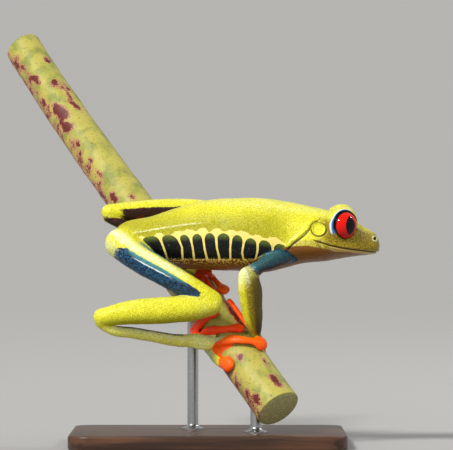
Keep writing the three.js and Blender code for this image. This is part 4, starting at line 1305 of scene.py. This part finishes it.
class FROG_OT_skin(bpy.types.Operator):
    """Builds the frog's skin as one continuous piece, from the parts under it to its markings"""

    bl_idname = "frog.skin"
    bl_label = "Skin"

    def execute(self, context):
        settings = context.scene.frog_skin
        limbs = strands()
        skin = piece_from(flesh_bm(limbs), "frog_skin")
        grow = skin.modifiers.new("Grow together", "REMESH")
        grow.mode = "VOXEL"
        grow.voxel_size = settings.voxel / MM
        apply_modifiers(skin)
        self.refine_head(skin)
        self.shape(skin.data, limbs)
        thin = skin.modifiers.new("Thin out", "DECIMATE")
        thin.ratio = min(1, settings.triangles / (2 * len(skin.data.polygons)))
        apply_modifiers(skin)

        mesh = skin.data
        points, facing = read(mesh.vertices, "co", 3), read(mesh.vertex_normals, "vector", 3)
        for name, values in markings(points, facing, limbs).items():
            write_field(mesh, name, values)
        mesh.transform(FROG_TO_ROW)
        mesh.shade_smooth()
        flesh = [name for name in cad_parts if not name.startswith(("stand_", "perch_", "eye_"))]
        finish_piece(skin, "back_skin", skin_material(settings), *flesh)
        return {"FINISHED"}

    def refine_head(self, skin):
        """Splits the faces round the eyes, mouth, ears and nostrils in four."""
        x, _, z = read(skin.data.vertices, "co", 3).T
        fine = (x > FINE_FROM_X) & (z > FINE_FROM_Z)
        bm = bmesh.new()
        bm.from_mesh(skin.data)
        edges = [edge for edge in bm.edges if all(fine[vert.index] for vert in edge.verts)]
        bmesh.ops.subdivide_edges(bm, edges=edges, cuts=1, use_grid_fill=True)
        bmesh.ops.triangulate(bm, faces=[face for face in bm.faces if len(face.verts) > 4])
        bm.to_mesh(skin.data)
        bm.free()

    def shape(self, mesh, limbs):
        """Smooths the grown parts into each other, opens the lids and adds the relief."""
        edges = read(mesh.edges, "vertices", 2, int)
        points = relaxed(read(mesh.vertices, "co", 3), edges, 0.5, EVENING_ROUNDS)
        points = relaxed(points, edges, 0.5 * junction_weight(points, limbs), JUNCTION_ROUNDS)
        points = carve_lids(points)
        write_places(mesh, points)
        facing = read(mesh.vertex_normals, "vector", 3)
        waves = swells(points, SKIN_WAVES) * (eye_distance(points) > EYE_RADIUS + 1)
        write_places(mesh, points + facing * (relief(points, facing) + waves)[:, None])


class FROG_OT_eyes(bpy.types.Operator):
    """Builds the two glossy eyeballs"""

    bl_idname = "frog.eyes"
    bl_label = "Eyes"

    def execute(self, context):
        material = eye_material(context.scene.frog_eyes)
        for side, sign in SIDES.items():
            bm = ball_bm(mirrored(EYE_CENTRE, sign), (EYE_RADIUS,) * 3, 96)
            bmesh.ops.transform(bm, matrix=FROG_TO_ROW, verts=bm.verts[:])
            finish_piece(piece_from(bm, f"eyeball_{side}"), "eye", material, f"eye_{side}")
        return {"FINISHED"}


class FROG_OT_perch(bpy.types.Operator):
    """Builds the cut stem that the frog grips"""

    bl_idname = "frog.perch"
    bl_label = "Perch"

    def execute(self, context):
        perch = piece_from(self.cut_stem(), "perch")
        mesh = perch.data
        points = read(mesh.vertices, "co", 3)
        along = dot(points - STEM_FOOT, STEM_LEAN) + STEM_LENGTH
        offset = points - stem_axis(along)
        angle = np.degrees(np.arctan2(dot(offset, STEM_ACROSS), dot(offset, STEM_UP)))
        share = np.linalg.norm(offset, axis=1) / stem_radius(along)
        write_field(mesh, "blotch", self.blotches(along, angle))
        write_field(mesh, "pith", smoothstep(0.965, 0.95, share))
        height = swells(points, STEM_WAVES) * smoothstep(0.3, 0.9, share) - STEM_PARED
        write_places(mesh, points + unit(offset) * height[:, None])
        mesh.transform(FROG_TO_ROW)
        finish_piece(perch, "stem", stem_material(context.scene.frog_perch), "perch_stem")
        return {"FINISHED"}

    def cut_stem(self, steps=400, sides=104):
        """The stem with its two cut ends, whose rims are rounded and whose faces are set in rings."""
        levels = np.linspace(0, STEM_LENGTH, steps)
        bm = loft([ring_matrix(stem_axis(s), STEM_ACROSS, STEM_UP, STEM_LEAN, r, r)
                   for s, r in zip(levels, stem_radius(levels))], sides)
        caps = [face for face in bm.faces if len(face.verts) > 4]
        bevel(bm, list({edge for face in caps for edge in face.edges}), STEM_RIM, 3)
        caps = [face for face in bm.faces if len(face.verts) > 4]
        for _ in range(CUT_RINGS):
            bmesh.ops.inset_individual(bm, faces=caps, thickness=CUT_RING_WIDTH)
        return bm

    def blotches(self, along, angle):
        """How far each point lies inside the maroon, in mm."""
        blotch = np.full(len(along), -3.0)
        for s, degrees, half_length, half_width in STEM_BLOTCHES:
            turn = (angle - degrees + 180) % 360 - 180
            across = np.radians(turn) * stem_radius(along)
            reach = np.hypot((along - s) / half_length, across / half_width)
            blotch = np.maximum(blotch, (1 - reach) * half_width)
        streak = smoothstep(0.55, 1.0, np.cos(np.radians(angle - STEM_STREAK_ANGLE)))
        blotch = np.maximum(blotch, -0.9 + 0.9 * streak)
        return np.where(np.abs(angle) > STEM_BACK_ANGLE, np.maximum(blotch, -0.75), blotch)


class FROG_OT_stand(bpy.types.Operator):
    """Builds the walnut base and the two steel rods under the stem"""

    bl_idname = "frog.stand"
    bl_label = "Stand"

    def execute(self, context):
        settings = context.scene.frog_stand
        steel = steel_material(settings)
        finish_piece(self.base(settings), "stand_wood", wood_material(settings), "stand_base")
        for name, s in ROD_PLACES.items():
            finish_piece(self.rod(name, s), "stand_steel", steel, f"stand_rod_{name}")
        return {"FINISHED"}

    def base(self, settings):
        bm = bmesh.new()
        size = Matrix.Diagonal((BASE_LENGTH * MM, BASE_WIDTH * MM, BASE_HEIGHT * MM, 1))
        bmesh.ops.create_cube(bm, size=1, matrix=Matrix.Translation((0, 0, BASE_HEIGHT * MM / 2)) @ size)
        upright = [edge for edge in bm.edges if abs(edge.verts[0].co.z - edge.verts[1].co.z) > MM]
        bevel(bm, upright, settings.corner, 12)
        level = [edge for edge in bm.edges if abs(edge.verts[0].co.z - edge.verts[1].co.z) < 1e-6
                 and any(abs(face.normal.z) < 0.5 for face in edge.link_faces)]
        bevel(bm, level, settings.bevel, 4)
        piece = piece_from(bm, "stand_plinth")
        piece.data.set_sharp_from_angle(angle=math.radians(35))
        return piece

    def rod(self, name, s):
        """A rod turned round its axis, with a flange whose side curves up into the rod."""
        top, foot = stem_axis(s), BASE_HEIGHT
        neck = ROD_FOOT_RADIUS - 0.3
        profile = [(0, foot), (ROD_FOOT_RADIUS, foot), (ROD_FOOT_RADIUS, foot + 0.35),
                   (ROD_FOOT_RADIUS - 0.15, foot + 0.5)]
        for turn in np.linspace(0, math.pi / 2, 9):
            profile.append((neck - (neck - ROD_RADIUS) * math.sin(turn),
                            foot + 0.55 + (ROD_FOOT_HEIGHT - 0.2) * (1 - math.cos(turn))))
        profile += [(ROD_RADIUS, top[2]), (0, top[2])]
        bm = bmesh.new()
        verts = [bm.verts.new((r, 0, z)) for r, z in profile]
        edges = [bm.edges.new(pair) for pair in zip(verts, verts[1:])]
        bmesh.ops.spin(bm, geom=verts + edges, cent=(0, 0, 0), axis=(0, 0, 1), angle=2 * math.pi,
                       steps=48, use_merge=True)
        bmesh.ops.remove_doubles(bm, verts=bm.verts[:], dist=1e-4)
        bmesh.ops.recalc_face_normals(bm, faces=bm.faces[:])
        place = FROG_TO_ROW @ Matrix.Translation((top[0], top[1], 0))
        bmesh.ops.transform(bm, matrix=place, verts=bm.verts[:])
        piece = piece_from(bm, f"stand_post_{name}")
        piece.data.set_sharp_from_angle(angle=math.radians(40))
        return piece


class FROG_OT_stage(bpy.types.Operator):
    """Adds the pale floor, the soft lights and the camera"""

    bl_idname = "frog.stage"
    bl_label = "Stage"

    def execute(self, context):
        scene, settings = context.scene, context.scene.frog_stage
        bm = bmesh.new()
        bmesh.ops.create_circle(bm, segments=96, radius=FLOOR_RADIUS, cap_ends=True)
        floor = piece_from(bm, "floor")
        floor.data.materials.append(floor_material(settings))

        camera = object_from(bpy.data.cameras.new("camera"), "camera")
        camera.data.lens = CAMERA_LENS
        camera.data.sensor_width = 36
        camera.data.clip_end = 3 * FLOOR_RADIUS
        camera.location = CAMERA_PLACE
        camera.rotation_euler = (math.pi / 2, 0, 0)
        scene.camera = camera

        self.light("key", "SUN", KEY_PLACE, energy=settings.key, angle=KEY_ANGLE,
                   color=linear(KEY_COLOUR)[:3])
        self.light("fill", "AREA", FILL_PLACE, shape="DISK", size=0.12, energy=settings.fill)
        front = self.light("front", "AREA", FRONT_PLACE, shape="DISK", size=0.9, energy=settings.front)
        front.visible_glossy = False
        world = bpy.data.worlds.new("studio")
        world.use_nodes = True
        sky = world.node_tree.nodes["Background"].inputs
        sky["Color"].default_value = linear(SKY_COLOUR)
        sky["Strength"].default_value = settings.sky
        scene.world = world
        scene.view_settings.view_transform = "Standard"
        return {"FINISHED"}

    def light(self, name, kind, place, **values):
        """A light that looks at the frog."""
        light = bpy.data.lights.new(name, kind)
        for key, value in values.items():
            setattr(light, key, value)
        lamp = object_from(light, name)
        lamp.location = place
        lamp.rotation_euler = (Vector(LIT_PLACE) - Vector(place)).to_track_quat("-Z", "Y").to_euler()
        return lamp


class FROG_PT_panel(bpy.types.Panel):
    """Lists the steps in building order, each with its settings"""

    bl_idname = "FROG_PT_panel"
    bl_label = "Red-eyed tree frog"
    bl_space_type = "VIEW_3D"
    bl_region_type = "UI"
    bl_category = "Frog"

    def draw(self, context):
        for step, settings_class in STEPS.items():
            box = self.layout.box()
            box.operator(f"frog.{step}")
            for name in settings_class.__annotations__:
                box.prop(getattr(context.scene, f"frog_{step}"), name)


STEPS = {"skin": SkinSettings, "eyes": EyeSettings, "perch": PerchSettings, "stand": StandSettings,
         "stage": StageSettings}
CLASSES = (*STEPS.values(), FROG_OT_skin, FROG_OT_eyes, FROG_OT_perch, FROG_OT_stand, FROG_OT_stage,
           FROG_PT_panel)


def register():
    for cls in CLASSES:
        bpy.utils.register_class(cls)
    for step, settings_class in STEPS.items():
        setattr(bpy.types.Scene, f"frog_{step}", PointerProperty(type=settings_class))


def unregister():
    for step in STEPS:
        delattr(bpy.types.Scene, f"frog_{step}")
    for cls in reversed(CLASSES):
        bpy.utils.unregister_class(cls)


def main():
    register()
    for step in STEPS:
        getattr(bpy.ops.frog, step)()


if __name__ == "__main__":
    main()
